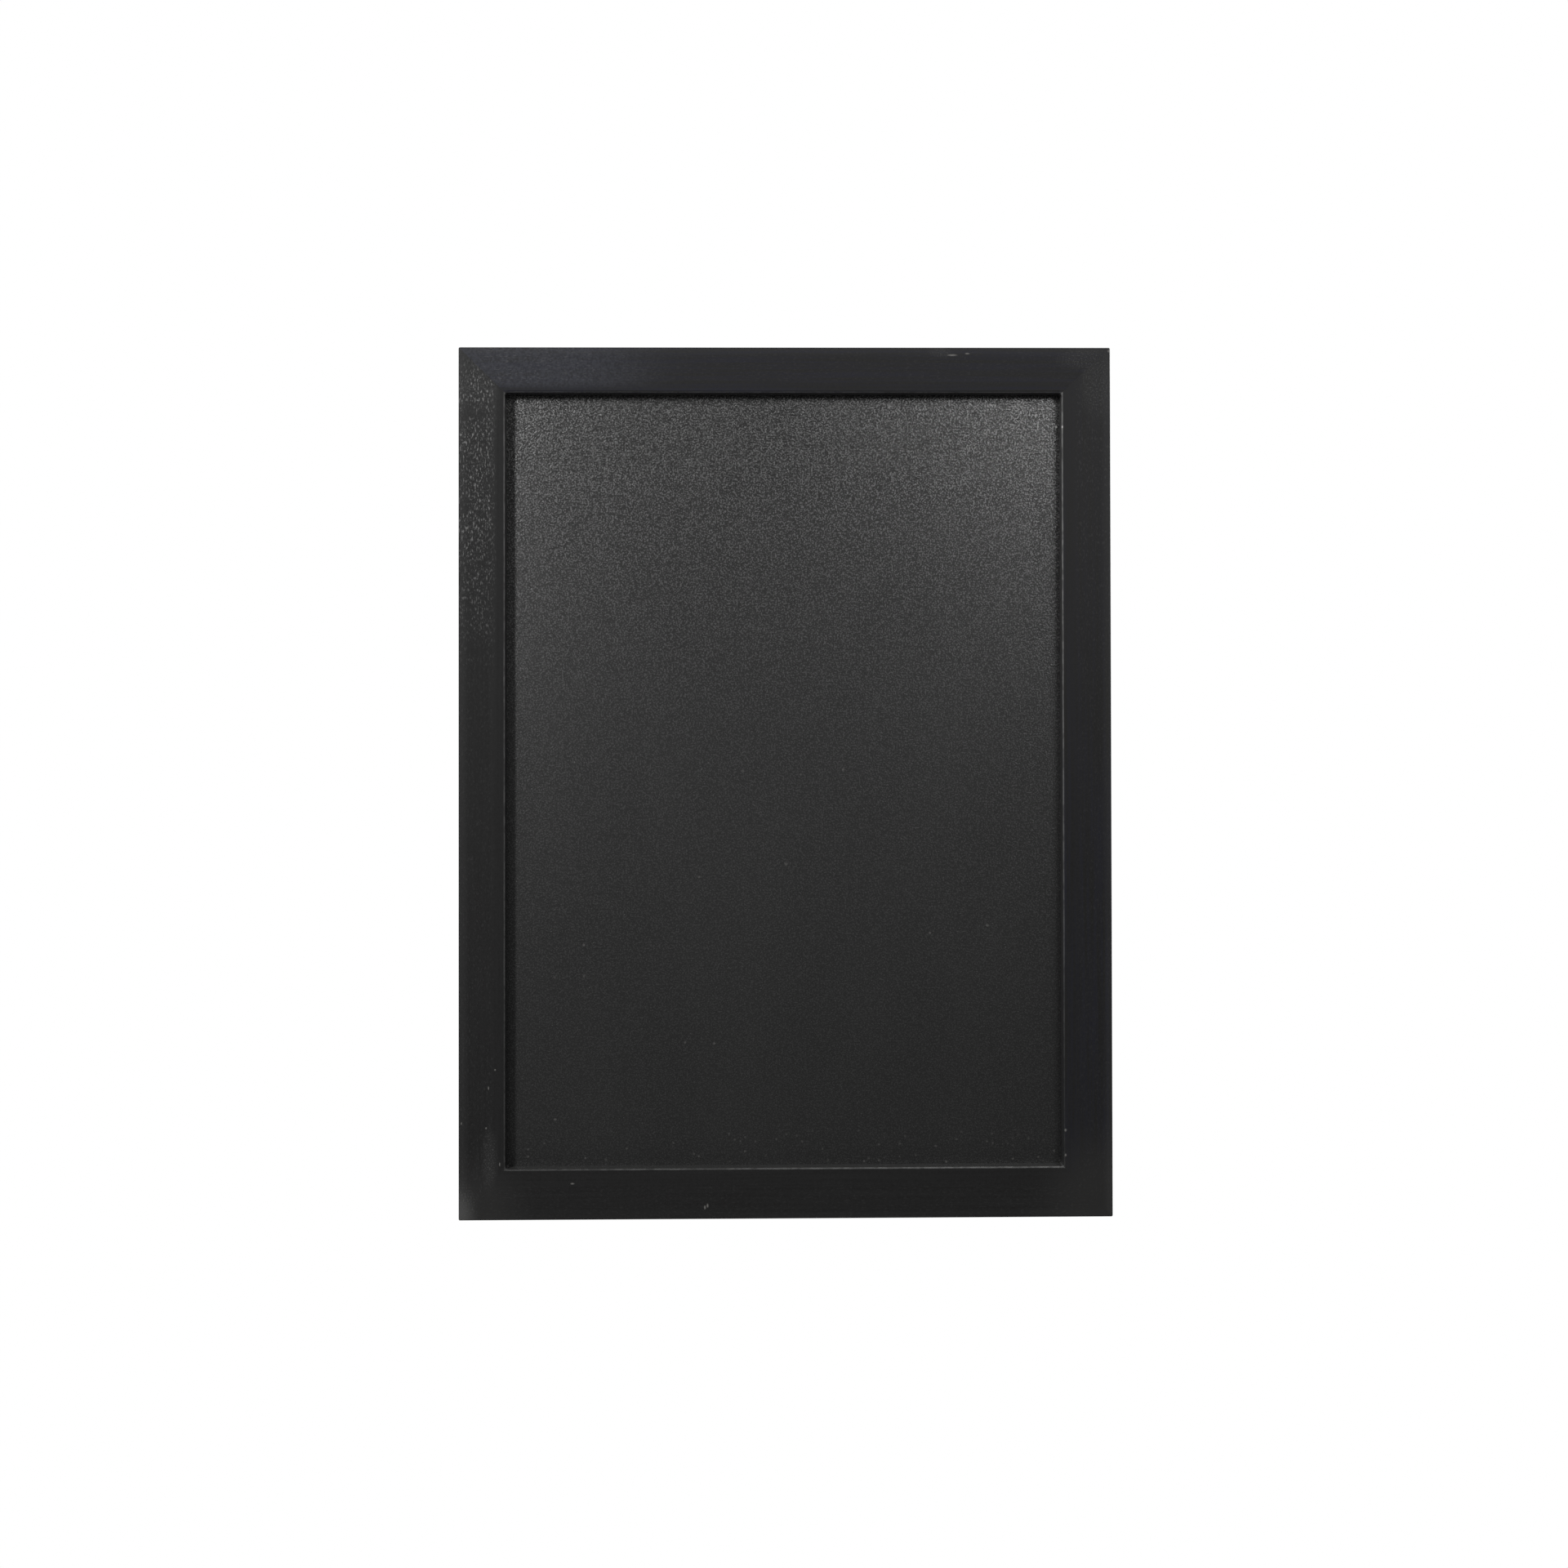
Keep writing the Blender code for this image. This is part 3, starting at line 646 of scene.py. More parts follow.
for number, (side, rail) in enumerate(rails.items()):
    lacquer, tree, shader, place = new_material(f"black_lacquer_{side}")
    axes = add_node(tree, "ShaderNodeSeparateXYZ", {"Vector": place}).outputs
    upright = side in ("left", "right")
    along, across = (axes["Z"], axes["X"]) if upright else (axes["X"], axes["Z"])
    half_length = (board_height if upright else board_width) / 2
    half_reach = (board_width if upright else board_height) / 2
    inward = maths(tree, "MULTIPLY_ADD", across, -SIDE_SIGNS[side], half_reach)
    from_end = maths(tree, "SUBTRACT", half_length, maths(tree, "ABSOLUTE", along))
    to_arris = maths(tree, "SUBTRACT", FACE_WIDTHS[side], inward)
    depth = maths(tree, "SUBTRACT", axes["Y"], rail_front)

    pores, dashes, clusters = (
        stretched_noise(
            tree, place, (wide, wide, long) if upright else (long, wide, wide), detail, (number, 0, number)
        )
        for (wide, long), detail in ((PORES, 3.0), (DASHES, 1.0), (DASH_CLUSTERS, 2.0))
    )
    mottle = spread(tree, stretched_noise(tree, place, MOTTLE_GRAIN, 1.0), *MOTTLE_RANGE)
    colour = mix_colours(tree, spread(tree, pores, *PORE_RANGE), LACQUER_BLACK, LACQUER_TINTS[side])
    colour = mix_colours(tree, product(tree, mottle, MOTTLE_SHARE), colour, LACQUER_MOTTLE)
    # Paler black: painted light towards the top right of the frame, and real fading at the two bottom
    # corners.
    faded_and_lit = spots(tree, place, FADED, CLOUD_DEPTH)
    faded_and_lit = maths(tree, "MAXIMUM", faded_and_lit, graded(tree, along, *FACE_LIGHT[side]))
    colour = mix_colours(tree, faded_and_lit, colour, FADED_AND_LIT_BLACK)
    # Painted sheen of the upper left softbox on the top left corner. It is mottled, and it ends short of the
    # inner arris in a band of painted shade.
    uneven = maths(tree, "MULTIPLY_ADD", mottle, *SHEEN_UNEVEN)
    sheen_patch = product(tree, spots(tree, place, SHEEN_PLACE, CLOUD_DEPTH), spread(tree, to_arris, *SHEEN_END))
    sheen_hue = SHEEN_GREY if upright else SHEEN_BLUE
    colour = mix_colours(tree, product(tree, sheen_patch, uneven, SHEEN[side]), colour, sheen_hue)

    # Painted highlight: a thin, slightly wavy and patchy grey line along the front of each inner arris.
    waver = maths(tree, "SUBTRACT", stretched_noise(tree, place, WAVER_GRAIN, 3.0), 0.5)
    wavy_arris = maths(tree, "MULTIPLY_ADD", waver, ARRIS_WAVER, to_arris)
    at_front = spread(tree, depth, *ARRIS_DEPTH)
    at_arris = product(tree, spread(tree, wavy_arris, *ARRIS_START), at_front)
    patches = spread(tree, stretched_noise(tree, place, HIGHLIGHT_PATCH_GRAIN), *PATCH_RANGE)
    patchy = maths(tree, "MULTIPLY_ADD", patches, *HIGHLIGHT_PATCHINESS)
    arris_highlight = product(tree, at_arris, patchy, graded(tree, along, *ARRIS_HIGHLIGHT[side]))
    # Painted sheen along the outer edges of the face.
    edge_sheen = product(tree, spread(tree, inward, *EDGE_WIDTH), EDGE_SHEEN[side])
    # Inner walls of the lips lightened: dust on the bottom ledge, and painted light on all the walls.
    on_wall = product(tree, spread(tree, to_arris, *WALL_START), maths(tree, "SUBTRACT", 1.0, at_front))
    colour = mix_colours(tree, product(tree, on_wall, WALL_DUST_AND_LIGHT[side]), colour, DUST_AND_WALL_LIGHT_GREY)
    colour = mix_colours(tree, maths(tree, "MAXIMUM", arris_highlight, edge_sheen), colour, HIGHLIGHT_GREY)

    # Painted glints: pale dashes and dots in the pores, in clusters, on the face of each rail and mostly up
    # the left rail.
    dot_glints = product(
        tree, spread(tree, stretched_noise(tree, place, DOT_GLINT_GRAIN, 1.0), *DOT_GLINT_RANGE), DOT_GLINT_SHARE
    )
    glinting_pores = maths(tree, "MAXIMUM", spread(tree, dashes, *DASH_RANGE), dot_glints)
    flecks = product(
        tree, glinting_pores, spread(tree, clusters, *CLUSTER_RANGE),
        spread(tree, inward, *GLINT_WIDTH), spread(tree, from_end, *GLINTS_END),
        spread(tree, depth, *GLINTS_DEPTH), graded(tree, along, *GLINTS_ALONG[side]),
    )
    colour = mix_colours(tree, flecks, colour, GLINT_GREY)

    dots = spread(tree, stretched_noise(tree, place, DUST_GRAIN), *DUST_RANGE)
    speckled = maths(tree, "MULTIPLY_ADD", dots, *DUST_SPECKLE)
    thin_dust = product(tree, spots(tree, place, THIN_DUST), THIN_DUST_SHARE)
    dust = product(tree, maths(tree, "MAXIMUM", spots(tree, place, DUST), thin_dust), speckled)
    dust = maths(tree, "MAXIMUM", dust, product(tree, spots(tree, place, SMEARS), SMEAR_SHARE))
    colour = mix_colours(tree, dust, colour, DUST_AND_WALL_LIGHT_GREY)
    broken = spread(tree, stretched_noise(tree, place, KNOCK_GRAIN), *KNOCK_RANGE)
    knocks = product(tree, spots(tree, place, KNOCKS[side]), broken)
    colour = mix_colours(tree, knocks, colour, KNOCK_PALE)
    nicks = spots(tree, place, NICKS, NICK_DEPTH)
    tree.links.new(mix_colours(tree, nicks, colour, NICK_PALE), shader.inputs["Base Color"])

    tooth = stretched_noise(tree, place, TOOTH_GRAIN, 1.0)
    # The bump also raises the painted glints.
    height = maths(tree, "MULTIPLY_ADD", tooth, TOOTH_DEPTH, product(tree, flecks, GLINT_RELIEF))
    emboss(tree, shader, height, 1.0)
    matt = maths(tree, "MULTIPLY_ADD", dust, DUST_ROUGHNESS, LACQUER_ROUGHNESS)
    tree.links.new(maths(tree, "MULTIPLY_ADD", pores, PORE_ROUGHNESS, matt), shader.inputs["Roughness"])
    shader.inputs["Specular IOR Level"].default_value = LACQUER_SHINE
    rail.data.materials.append(lacquer)

# Corner nails: bent strips of bare steel, two to a corner, driven across each mitre from behind until they
# lie flush with the frame. They are dull, with brighter patches where the hammer met them.
NAIL_DULL = (0.17, 0.16, 0.15, 1)
NAIL_BRIGHT = (0.44, 0.44, 0.44, 1)
NAIL_ROUGHNESS = 0.40
NAIL_BRUSHING = (900, 200, 900)
NAIL_CLOUDS = 700.0
TONE_RANGE = (0.35, 0.68)
LINE_RANGE = (0.35, 0.65)
LINE_ROUGHNESS = 0.12
BRIGHT_ROUGHNESS = -0.08
LINE_DEPTH = 0.00002
LINE_STRENGTH = 0.4

worn_metal, given = new_group(
    "worn_metal", {"Place": "Vector", "Brushing": "Vector", "Clouds": "Float"},
    {"Tone": "Float", "Lines": "Float"},
)
drawn = add_node(
    worn_metal, "ShaderNodeVectorMath", {0: given["Place"], 1: given["Brushing"]}, operation="MULTIPLY"
)
lines = add_node(
    worn_metal, "ShaderNodeTexNoise", {"Vector": drawn.outputs[0], "Scale": 1.0, "Detail": 3.0}
)
clouds = add_node(
    worn_metal, "ShaderNodeTexNoise", {"Vector": given["Place"], "Scale": given["Clouds"], "Detail": 4.0}
)
add_node(
    worn_metal, "NodeGroupOutput",
    {
        "Tone": spread(worn_metal, clouds.outputs[0], *TONE_RANGE),
        "Lines": spread(worn_metal, lines.outputs[0], *LINE_RANGE),
    },
)


def metal(name, dull, bright, roughness, brushing, clouds):
    """A metal of two tones. Brushing is its grains to the metre on each axis, clouds those of its tones."""
    made, tree, shader, place = new_material(name)
    worn = add_node(
        tree, "ShaderNodeGroup", {"Place": place, "Brushing": brushing, "Clouds": clouds},
        node_tree=worn_metal,
    ).outputs
    tree.links.new(mix_colours(tree, worn["Tone"], dull, bright), shader.inputs["Base Color"])
    uneven = maths(tree, "MULTIPLY_ADD", worn["Lines"], LINE_ROUGHNESS, roughness)
    uneven = maths(tree, "MULTIPLY_ADD", worn["Tone"], BRIGHT_ROUGHNESS, uneven)
    tree.links.new(uneven, shader.inputs["Roughness"])
    emboss(tree, shader, worn["Lines"], LINE_DEPTH, LINE_STRENGTH)
    shader.inputs["Metallic"].default_value = 1.0
    return made


nail_steel = metal(
    "bare_nail_steel", NAIL_DULL, NAIL_BRIGHT, NAIL_ROUGHNESS, NAIL_BRUSHING, NAIL_CLOUDS
)
for name, node in frame["nodes"].items():
    if name.startswith("corner_nail"):
        node.material_slots[0].material = nail_steel

# Writing sheet: a black laminate with a fine pebble grain that takes chalk. Its grains are glossy enough
# to glint where they face the lights, and less so lower down, where use has rubbed them even. The glossy
# tops are painted darker, as painted shade that keeps the room's reflection in them from showing as grain.
# Chalk dust has gathered along its foot and left a few specks, and a pale spot by the right lip is a painted
# reflection of the nick on the right rail's arris.
SHEET_BLACK = (0.0108, 0.0108, 0.0107, 1)
SHEET_WORN = (0.0120, 0.0120, 0.0118, 1)
# Painted shade: the glossy pebble tops are painted darker, so that the room's reflection in their coat
# doesn't show as grain.
PEBBLE_TOPS = (0.0004, 0.0004, 0.0004, 1)
CHALK_DUST = (0.050, 0.049, 0.047, 1)
# Painted reflection: a pale spot on the sheet beside the right lip, the mirror image of the nick on the
# right rail's arris.
NICK_REFLECTION_PALE = (0.30, 0.30, 0.29, 1)
NICK_REFLECTIONS = [(0.1261, 0.1643, 0.0006, 0.0008)]
PEBBLES = 1500
PEBBLE_DEPTH = 0.00012
EVEN_GLOSS = 0.285
GRAIN_LEFT = ((0.02, 0.5), (0.15, 1.0))
PEBBLE_RANGE = (0.46, 0.70)
PEBBLE_ROUGHNESS = 0.28
PEBBLE_IOR = 2.32
SHEET_ROUGHNESS = 0.23
SHEET_SHINE = 0.46
WEAR_GRAIN = (22, 22, 9)
WEAR_RANGE = (0.35, 0.7)
WEAR_ROUGHNESS = 0.04
DUSTY_FOOT = (-0.150, -0.176)
FOOT_DUST = (420.0, 0.16, 0.55)
LOOSE_DUST = (150.0, 0.06, 0.16)
SPECK_CORE = 0.4

specks, given = new_group(
    "scattered_specks", {"Place": "Vector", "Grid": "Float", "Share": "Float", "Size": "Float"},
    {"Mask": "Float"},
)
cells = add_node(specks, "ShaderNodeTexVoronoi", {"Vector": given["Place"], "Scale": given["Grid"]}).outputs
chance = add_node(specks, "ShaderNodeSeparateColor", {"Color": cells["Color"]}).outputs
chosen = maths(specks, "LESS_THAN", chance["Red"], given["Share"])
size = maths(specks, "MULTIPLY", given["Size"], chance["Green"])
dots = spread(specks, cells["Distance"], size, maths(specks, "MULTIPLY", size, SPECK_CORE))
add_node(specks, "NodeGroupOutput", {"Mask": maths(specks, "MULTIPLY", dots, chosen)})


def scatter(tree, place, grid, share, size):
    """A mask of specks: cells to the metre, the share of cells that hold one, and its size in its cell."""
    made = add_node(
        tree, "ShaderNodeGroup", {"Place": place, "Grid": grid, "Share": share, "Size": size},
        node_tree=specks,
    )
    return made.outputs["Mask"]


sheet_paint, tree, shader, place = new_material("chalk_laminate")
height = add_node(tree, "ShaderNodeSeparateXYZ", {"Vector": place}).outputs["Z"]
pebbles = stretched_noise(tree, place, PEBBLES, 1.0)
glossy = maths(tree, "SUBTRACT", spread(tree, pebbles, *PEBBLE_RANGE), EVEN_GLOSS)
tops = maths(tree, "MULTIPLY_ADD", glossy, graded(tree, height, *GRAIN_LEFT), EVEN_GLOSS)
emboss(tree, shader, pebbles, PEBBLE_DEPTH)
worn = stretched_noise(tree, place, WEAR_GRAIN, 4.0)
ground = mix_colours(tree, spread(tree, worn, *WEAR_RANGE), SHEET_BLACK, SHEET_WORN)
# Painted shade on the glossy pebble tops, offsetting the room's reflection in their coat.
ground = mix_colours(tree, tops, ground, PEBBLE_TOPS)
foot_dust = product(tree, spread(tree, height, *DUSTY_FOOT), scatter(tree, place, *FOOT_DUST))
dust = maths(tree, "MAXIMUM", foot_dust, scatter(tree, place, *LOOSE_DUST))
ground = mix_colours(tree, dust, ground, CHALK_DUST)
# Painted reflection of the nick on the right rail's arris.
nick_reflection = spots(tree, place, NICK_REFLECTIONS, sunk=LIP_DEPTH)
tree.links.new(mix_colours(tree, nick_reflection, ground, NICK_REFLECTION_PALE), shader.inputs["Base Color"])
matt = maths(tree, "MULTIPLY_ADD", worn, WEAR_ROUGHNESS, SHEET_ROUGHNESS)
tree.links.new(matt, shader.inputs["Roughness"])
tree.links.new(tops, shader.inputs["Coat Weight"])
shader.inputs["Coat Roughness"].default_value = PEBBLE_ROUGHNESS
shader.inputs["Coat IOR"].default_value = PEBBLE_IOR
shader.inputs["Specular IOR Level"].default_value = SHEET_SHINE
frame["nodes"]["writing_sheet"].material_slots[0].material = sheet_paint

# Panel core: a sheet of raw fibreboard that carries both laminates, pressed from brown wood fibres. Its
# edges sit in the rebate of the frame, with a little play all round.
FIBRE_BROWN = (0.23, 0.145, 0.080, 1)
FIBRE_PALE = (0.37, 0.255, 0.155, 1)
FIBRES = (520, 2600, 520)
FIBRE_FLECKS = (1900, 3000, 1900)
FIBRE_SHARES = (0.6, 0.4)
FIBRE_RANGE = (0.36, 0.62)
FIBRE_ROUGHNESS = (0.2, 0.72)
FIBRE_DEPTH = 0.0002
FIBRE_STRENGTH = 0.7

fibreboard, tree, shader, place = new_material("raw_fibreboard")
fibres = stretched_noise(tree, place, FIBRES, 5.0)
flecks = stretched_noise(tree, place, FIBRE_FLECKS)
pressed = maths(tree, "MULTIPLY_ADD", flecks, FIBRE_SHARES[1], product(tree, fibres, FIBRE_SHARES[0]))
brown = mix_colours(tree, spread(tree, pressed, *FIBRE_RANGE), FIBRE_BROWN, FIBRE_PALE)
tree.links.new(brown, shader.inputs["Base Color"])
tree.links.new(maths(tree, "MULTIPLY_ADD", fibres, *FIBRE_ROUGHNESS), shader.inputs["Roughness"])
emboss(tree, shader, pressed, FIBRE_DEPTH, FIBRE_STRENGTH)
frame["nodes"]["panel_core"].material_slots[0].material = fibreboard

# Backing sheet: a thin dark laminate glued to the back of the core so that the panel stays flat. It is matt
# and faintly mottled with fibres, and its handling has left pale rubs and a little dust.
BACKING_DARK = (0.036, 0.034, 0.031, 1)
BACKING_FIBRE = (0.060, 0.056, 0.050, 1)
BACKING_RUB = (0.105, 0.100, 0.093, 1)
LONG_FIBRES = (1500, 1500, 240)
CROSS_FIBRES = (240, 1500, 1500)
CROSS_OFFSET = (0, 0, 7)
PAPER_RANGE = (0.48, 0.72)
RUB_LINES = (900, 900, 26)
RUB_OFFSET = (3, 0, 0)
RUB_RANGE = (0.58, 0.74)
RUB_CLOUDS = (14, 14, 9)
RUB_CLOUD_RANGE = (0.50, 0.72)
BACKING_SPECKS = (130.0, 0.08, 0.12)
BACKING_ROUGHNESS = (0.16, 0.50)
BACKING_DEPTH = 0.00006
BACKING_STRENGTH = 0.5

backing, tree, shader, place = new_material("backing_laminate")
long_fibres = stretched_noise(tree, place, LONG_FIBRES, 3.0)
cross_fibres = stretched_noise(tree, place, CROSS_FIBRES, 3.0, CROSS_OFFSET)
fibres = maths(tree, "MAXIMUM", long_fibres, cross_fibres)
paper = mix_colours(tree, spread(tree, fibres, *PAPER_RANGE), BACKING_DARK, BACKING_FIBRE)
rub_lines = stretched_noise(tree, place, RUB_LINES, 3.0, RUB_OFFSET)
rub_clouds = stretched_noise(tree, place, RUB_CLOUDS, 3.0)
rubs = product(tree, spread(tree, rub_lines, *RUB_RANGE), spread(tree, rub_clouds, *RUB_CLOUD_RANGE))
rubs = maths(tree, "MAXIMUM", rubs, scatter(tree, place, *BACKING_SPECKS))
tree.links.new(mix_colours(tree, rubs, paper, BACKING_RUB), shader.inputs["Base Color"])
tree.links.new(maths(tree, "MULTIPLY_ADD", rub_clouds, *BACKING_ROUGHNESS), shader.inputs["Roughness"])
emboss(tree, shader, fibres, BACKING_DEPTH, BACKING_STRENGTH)
frame["nodes"]["backing_sheet"].material_slots[0].material = backing

# Turn buttons: tongues stamped from plated steel, each on a screw in the back of a rail. The nose swings
# over the panel to hold it in the rebate. A long dimple pressed into each one stiffens it.
BUTTON_THICKNESS = 0.001
BUTTON_TAIL_RADIUS = 0.005
BUTTON_NOSE_RADIUS = 0.0038
BUTTON_HOLE_RADIUS = 0.0016
BUTTON_RIM = 0.00018
BUTTON_SIDES = 64
BUTTON_RIM_STEPS = 3
DIMPLE_PLACE = (0, 0.0015, -0.0094)
DIMPLE_REACH = (0.0022, 0.00122, 0.0070)
DIMPLE_SEGMENTS, DIMPLE_RINGS = 48, 24
BUTTON_SMOOTH = math.radians(12)
BUTTON_DULL = (0.27, 0.255, 0.22, 1)
BUTTON_BRIGHT = (0.42, 0.40, 0.355, 1)
BUTTON_ROUGHNESS = 0.30
BUTTON_BRUSHING = (2200, 900, 260)
BUTTON_CLOUDS = 260.0

pivots = {joint["child"]: Vector(joint["pos_m"]) for joint in frame["joints"]}
button_low, button_high = (Vector(corner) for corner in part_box("turn_button_top"))
nose_drop = button_high.z - button_low.z - BUTTON_TAIL_RADIUS - BUTTON_NOSE_RADIUS


def place_copy(pattern, name, place, turn=0.0):
    """A copy of a finished piece with its own mesh, turned about Y by so many degrees and put in place."""
    made = pattern.copy()
    made.data = pattern.data.copy()
    made.name = name
    scene.collection.objects.link(made)
    made.rotation_euler = (0, math.radians(turn), 0)
    made.location = place
    apply_place(made)
    return made


tongue = add_rod(BUTTON_TAIL_RADIUS, BUTTON_THICKNESS, (0, 0, 0), BUTTON_SIDES)
bpy.ops.object.mode_set(mode="EDIT")
pick(tongue, "VERT", lambda v: v.co.z < -NEAR)
bpy.ops.transform.translate(value=(0, 0, -nose_drop))
narrowing = BUTTON_NOSE_RADIUS / BUTTON_TAIL_RADIUS
bpy.ops.transform.resize(value=(narrowing, 1, narrowing), center_override=(0, 0, -nose_drop))
pick(tongue, "EDGE", lambda e: abs(e.verts[0].co.y - e.verts[1].co.y) < NEAR)
bpy.ops.mesh.bevel(offset=BUTTON_RIM, segments=BUTTON_RIM_STEPS, profile=0.5, affect="EDGES")
bpy.ops.object.mode_set(mode="OBJECT")
carve(tongue, add_rod(BUTTON_HOLE_RADIUS, 3 * BUTTON_THICKNESS, (0, 0, 0)))
bpy.ops.object.select_all(action="DESELECT")
bpy.ops.mesh.primitive_uv_sphere_add(
    segments=DIMPLE_SEGMENTS, ring_count=DIMPLE_RINGS, radius=1, location=DIMPLE_PLACE, scale=DIMPLE_REACH
)
dimple = bpy.context.object
apply_place(dimple)
carve(tongue, dimple)
only(tongue)
bpy.ops.object.shade_smooth_by_angle(angle=BUTTON_SMOOTH)
button_plate = metal(
    "turn_button_plate", BUTTON_DULL, BUTTON_BRIGHT, BUTTON_ROUGHNESS, BUTTON_BRUSHING, BUTTON_CLOUDS
)
tongue.data.materials.append(button_plate)
for body, pivot in pivots.items():
    if body.startswith("button"):
        side = body.split("_")[1]
        button = place_copy(tongue, f"stamped_turn_{body}", pivot, RAIL_TURNS[side])
        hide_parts(f"turn_{body}")
        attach(button, body)
bpy.data.objects.remove(tongue)

# Pan head screws: zinc plated wood screws, one through each turn button and each hanger strap. Every one
# has a tapered cross recess and stopped at its own turn, in a bore drilled in the rail.
HEAD_RADIUS = 0.00275
HEAD_SIDE = 0.0006
HEAD_CROWN = 0.0011
HEAD_SIDES = 48
CROWN_STEPS = 7
CROWN_TURN = 78
SHANK_RADIUS = 0.0015
SHANK_LENGTH = 0.009
SHANK_TIP = 0.002
TIP_NARROWING = 0.08
RECESS_LENGTH = 0.0030
RECESS_WIDTH = 0.0007
RECESS_DEPTH = 0.0009
RECESS_NARROWING = 0.5
BORE_PLAY = 0.0001
TURN_BETWEEN = 37
SCREW_SMOOTH = math.radians(35)
ZINC_DULL = (0.46, 0.46, 0.45, 1)
ZINC_BRIGHT = (0.68, 0.68, 0.67, 1)
ZINC_ROUGHNESS = 0.24
ZINC_BRUSHING = (1500, 1500, 1500)
ZINC_CLOUDS = 500.0

bpy.ops.object.select_all(action="DESELECT")
bpy.ops.mesh.primitive_cylinder_add(
    vertices=HEAD_SIDES, radius=HEAD_RADIUS, depth=HEAD_SIDE, location=(0, 0, HEAD_SIDE / 2)
)
screw = bpy.context.object
apply_place(screw)
bpy.ops.object.mode_set(mode="EDIT")
pick(screw, "FACE", lambda f: f.normal.z > FACING)
for step in range(CROWN_STEPS):
    before = math.radians(CROWN_TURN) * step / CROWN_STEPS
    after = math.radians(CROWN_TURN) * (step + 1) / CROWN_STEPS
    rise = HEAD_CROWN * (math.sin(after) - math.sin(before))
    bpy.ops.mesh.extrude_region_move(TRANSFORM_OT_translate={"value": (0, 0, rise)})
    narrowing = math.cos(after) / math.cos(before)
    bpy.ops.transform.resize(value=(narrowing, narrowing, 1), center_override=(0, 0, 0))
pick(screw, "FACE", lambda f: f.normal.z < -FACING)
bpy.ops.mesh.inset(thickness=HEAD_RADIUS - SHANK_RADIUS)
bpy.ops.mesh.extrude_region_move(TRANSFORM_OT_translate={"value": (0, 0, SHANK_TIP - SHANK_LENGTH)})
bpy.ops.mesh.extrude_region_move(TRANSFORM_OT_translate={"value": (0, 0, -SHANK_TIP)})
bpy.ops.transform.resize(value=(TIP_NARROWING, TIP_NARROWING, 1), center_override=(0, 0, -SHANK_LENGTH))
bpy.ops.object.mode_set(mode="OBJECT")
head_top = HEAD_SIDE + HEAD_CROWN
for turn in (0, 90):
    bpy.ops.object.select_all(action="DESELECT")
    bpy.ops.mesh.primitive_cube_add(
        size=1, location=(0, 0, head_top), scale=(RECESS_LENGTH, RECESS_WIDTH, 2 * RECESS_DEPTH),
        rotation=(0, 0, math.radians(turn)),
    )
    blade = bpy.context.object
    apply_place(blade)
    bpy.ops.object.mode_set(mode="EDIT")
    pick(blade, "FACE", lambda f: f.normal.z < -FACING)
    bpy.ops.transform.resize(value=(RECESS_NARROWING, RECESS_NARROWING, 1), center_override=(0, 0, 0))
    bpy.ops.object.mode_set(mode="OBJECT")
    carve(screw, blade)
screw.rotation_euler = (math.radians(-90), 0, 0)
apply_place(screw)
bpy.ops.object.shade_smooth_by_angle(angle=SCREW_SMOOTH)
screw.data.materials.append(
    metal("zinc_plate", ZINC_DULL, ZINC_BRIGHT, ZINC_ROUGHNESS, ZINC_BRUSHING, ZINC_CLOUDS)
)
screw_nodes = [name for name in frame["nodes"] if "_screw_" in name]
for number, node in enumerate(screw_nodes):
    side = node.split("_")[2]
    low, high = (Vector(corner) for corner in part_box(node))
    bearing = Vector(((low.x + high.x) / 2, low.y + SHANK_LENGTH, (low.z + high.z) / 2))
    driven = place_copy(screw, f"pan_head_{node}", bearing, TURN_BETWEEN * number)
    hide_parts(node)
    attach(driven, "board")
    bore_depth = 2 * (rail_back - low.y + BORE_PLAY)
    carve(rails[side], add_rod(SHANK_RADIUS + BORE_PLAY, bore_depth, (bearing.x, rail_back, bearing.z)))
bpy.data.objects.remove(screw)

# Hanger straps: strips of nickel plated steel, folded over the bar of the hanging ring into two layers and
# held by one screw through both. The fold is a round knuckle in which the bar turns.
STRAP_WIDTH = 0.008
STRAP_THICKNESS = 0.0008
STRAP_LENGTH = 0.01195
STRAP_HOLE_DROP = 0.00695
KNUCKLE_RADIUS = 0.00165
KNUCKLE_WRAP = math.radians(225)
KNUCKLE_STEPS = 20
UPPER_LAYER = -0.00065
RAMP_ROUND = 0.0008
RAMP_STEPS = 4
TAIL_ROUND = 0.0025
TAIL_STEPS = 6
STRAP_RIM = 0.00012
STRAP_RIM_STEPS = 2
STRAP_SHARP = math.radians(60)
STRAP_SMOOTH = math.radians(40)
NICKEL_DULL = (0.42, 0.41, 0.39, 1)
NICKEL_BRIGHT = (0.62, 0.61, 0.59, 1)
NICKEL_ROUGHNESS = 0.28
NICKEL_BRUSHING = (2600, 700, 160)
NICKEL_CLOUDS = 320.0

bpy.ops.object.select_all(action="DESELECT")
bpy.ops.mesh.primitive_plane_add(
    size=1, location=(0, -KNUCKLE_RADIUS, -STRAP_LENGTH / 2), rotation=(math.radians(90), 0, 0)
)
strap = bpy.context.object
strap.scale = (STRAP_WIDTH, STRAP_LENGTH, 1)
apply_place(strap)
bpy.ops.object.mode_set(mode="EDIT")
pick(strap, "EDGE", lambda e: lies_at(e, -KNUCKLE_RADIUS, 0))
bpy.ops.mesh.spin(steps=KNUCKLE_STEPS, angle=KNUCKLE_WRAP, center=(0, 0, 0), axis=(1, 0, 0))
knuckle_end = KNUCKLE_RADIUS * math.sin(math.radians(45))
pick(strap, "EDGE", lambda e: lies_at(e, knuckle_end, -knuckle_end))
ramp = knuckle_end - UPPER_LAYER
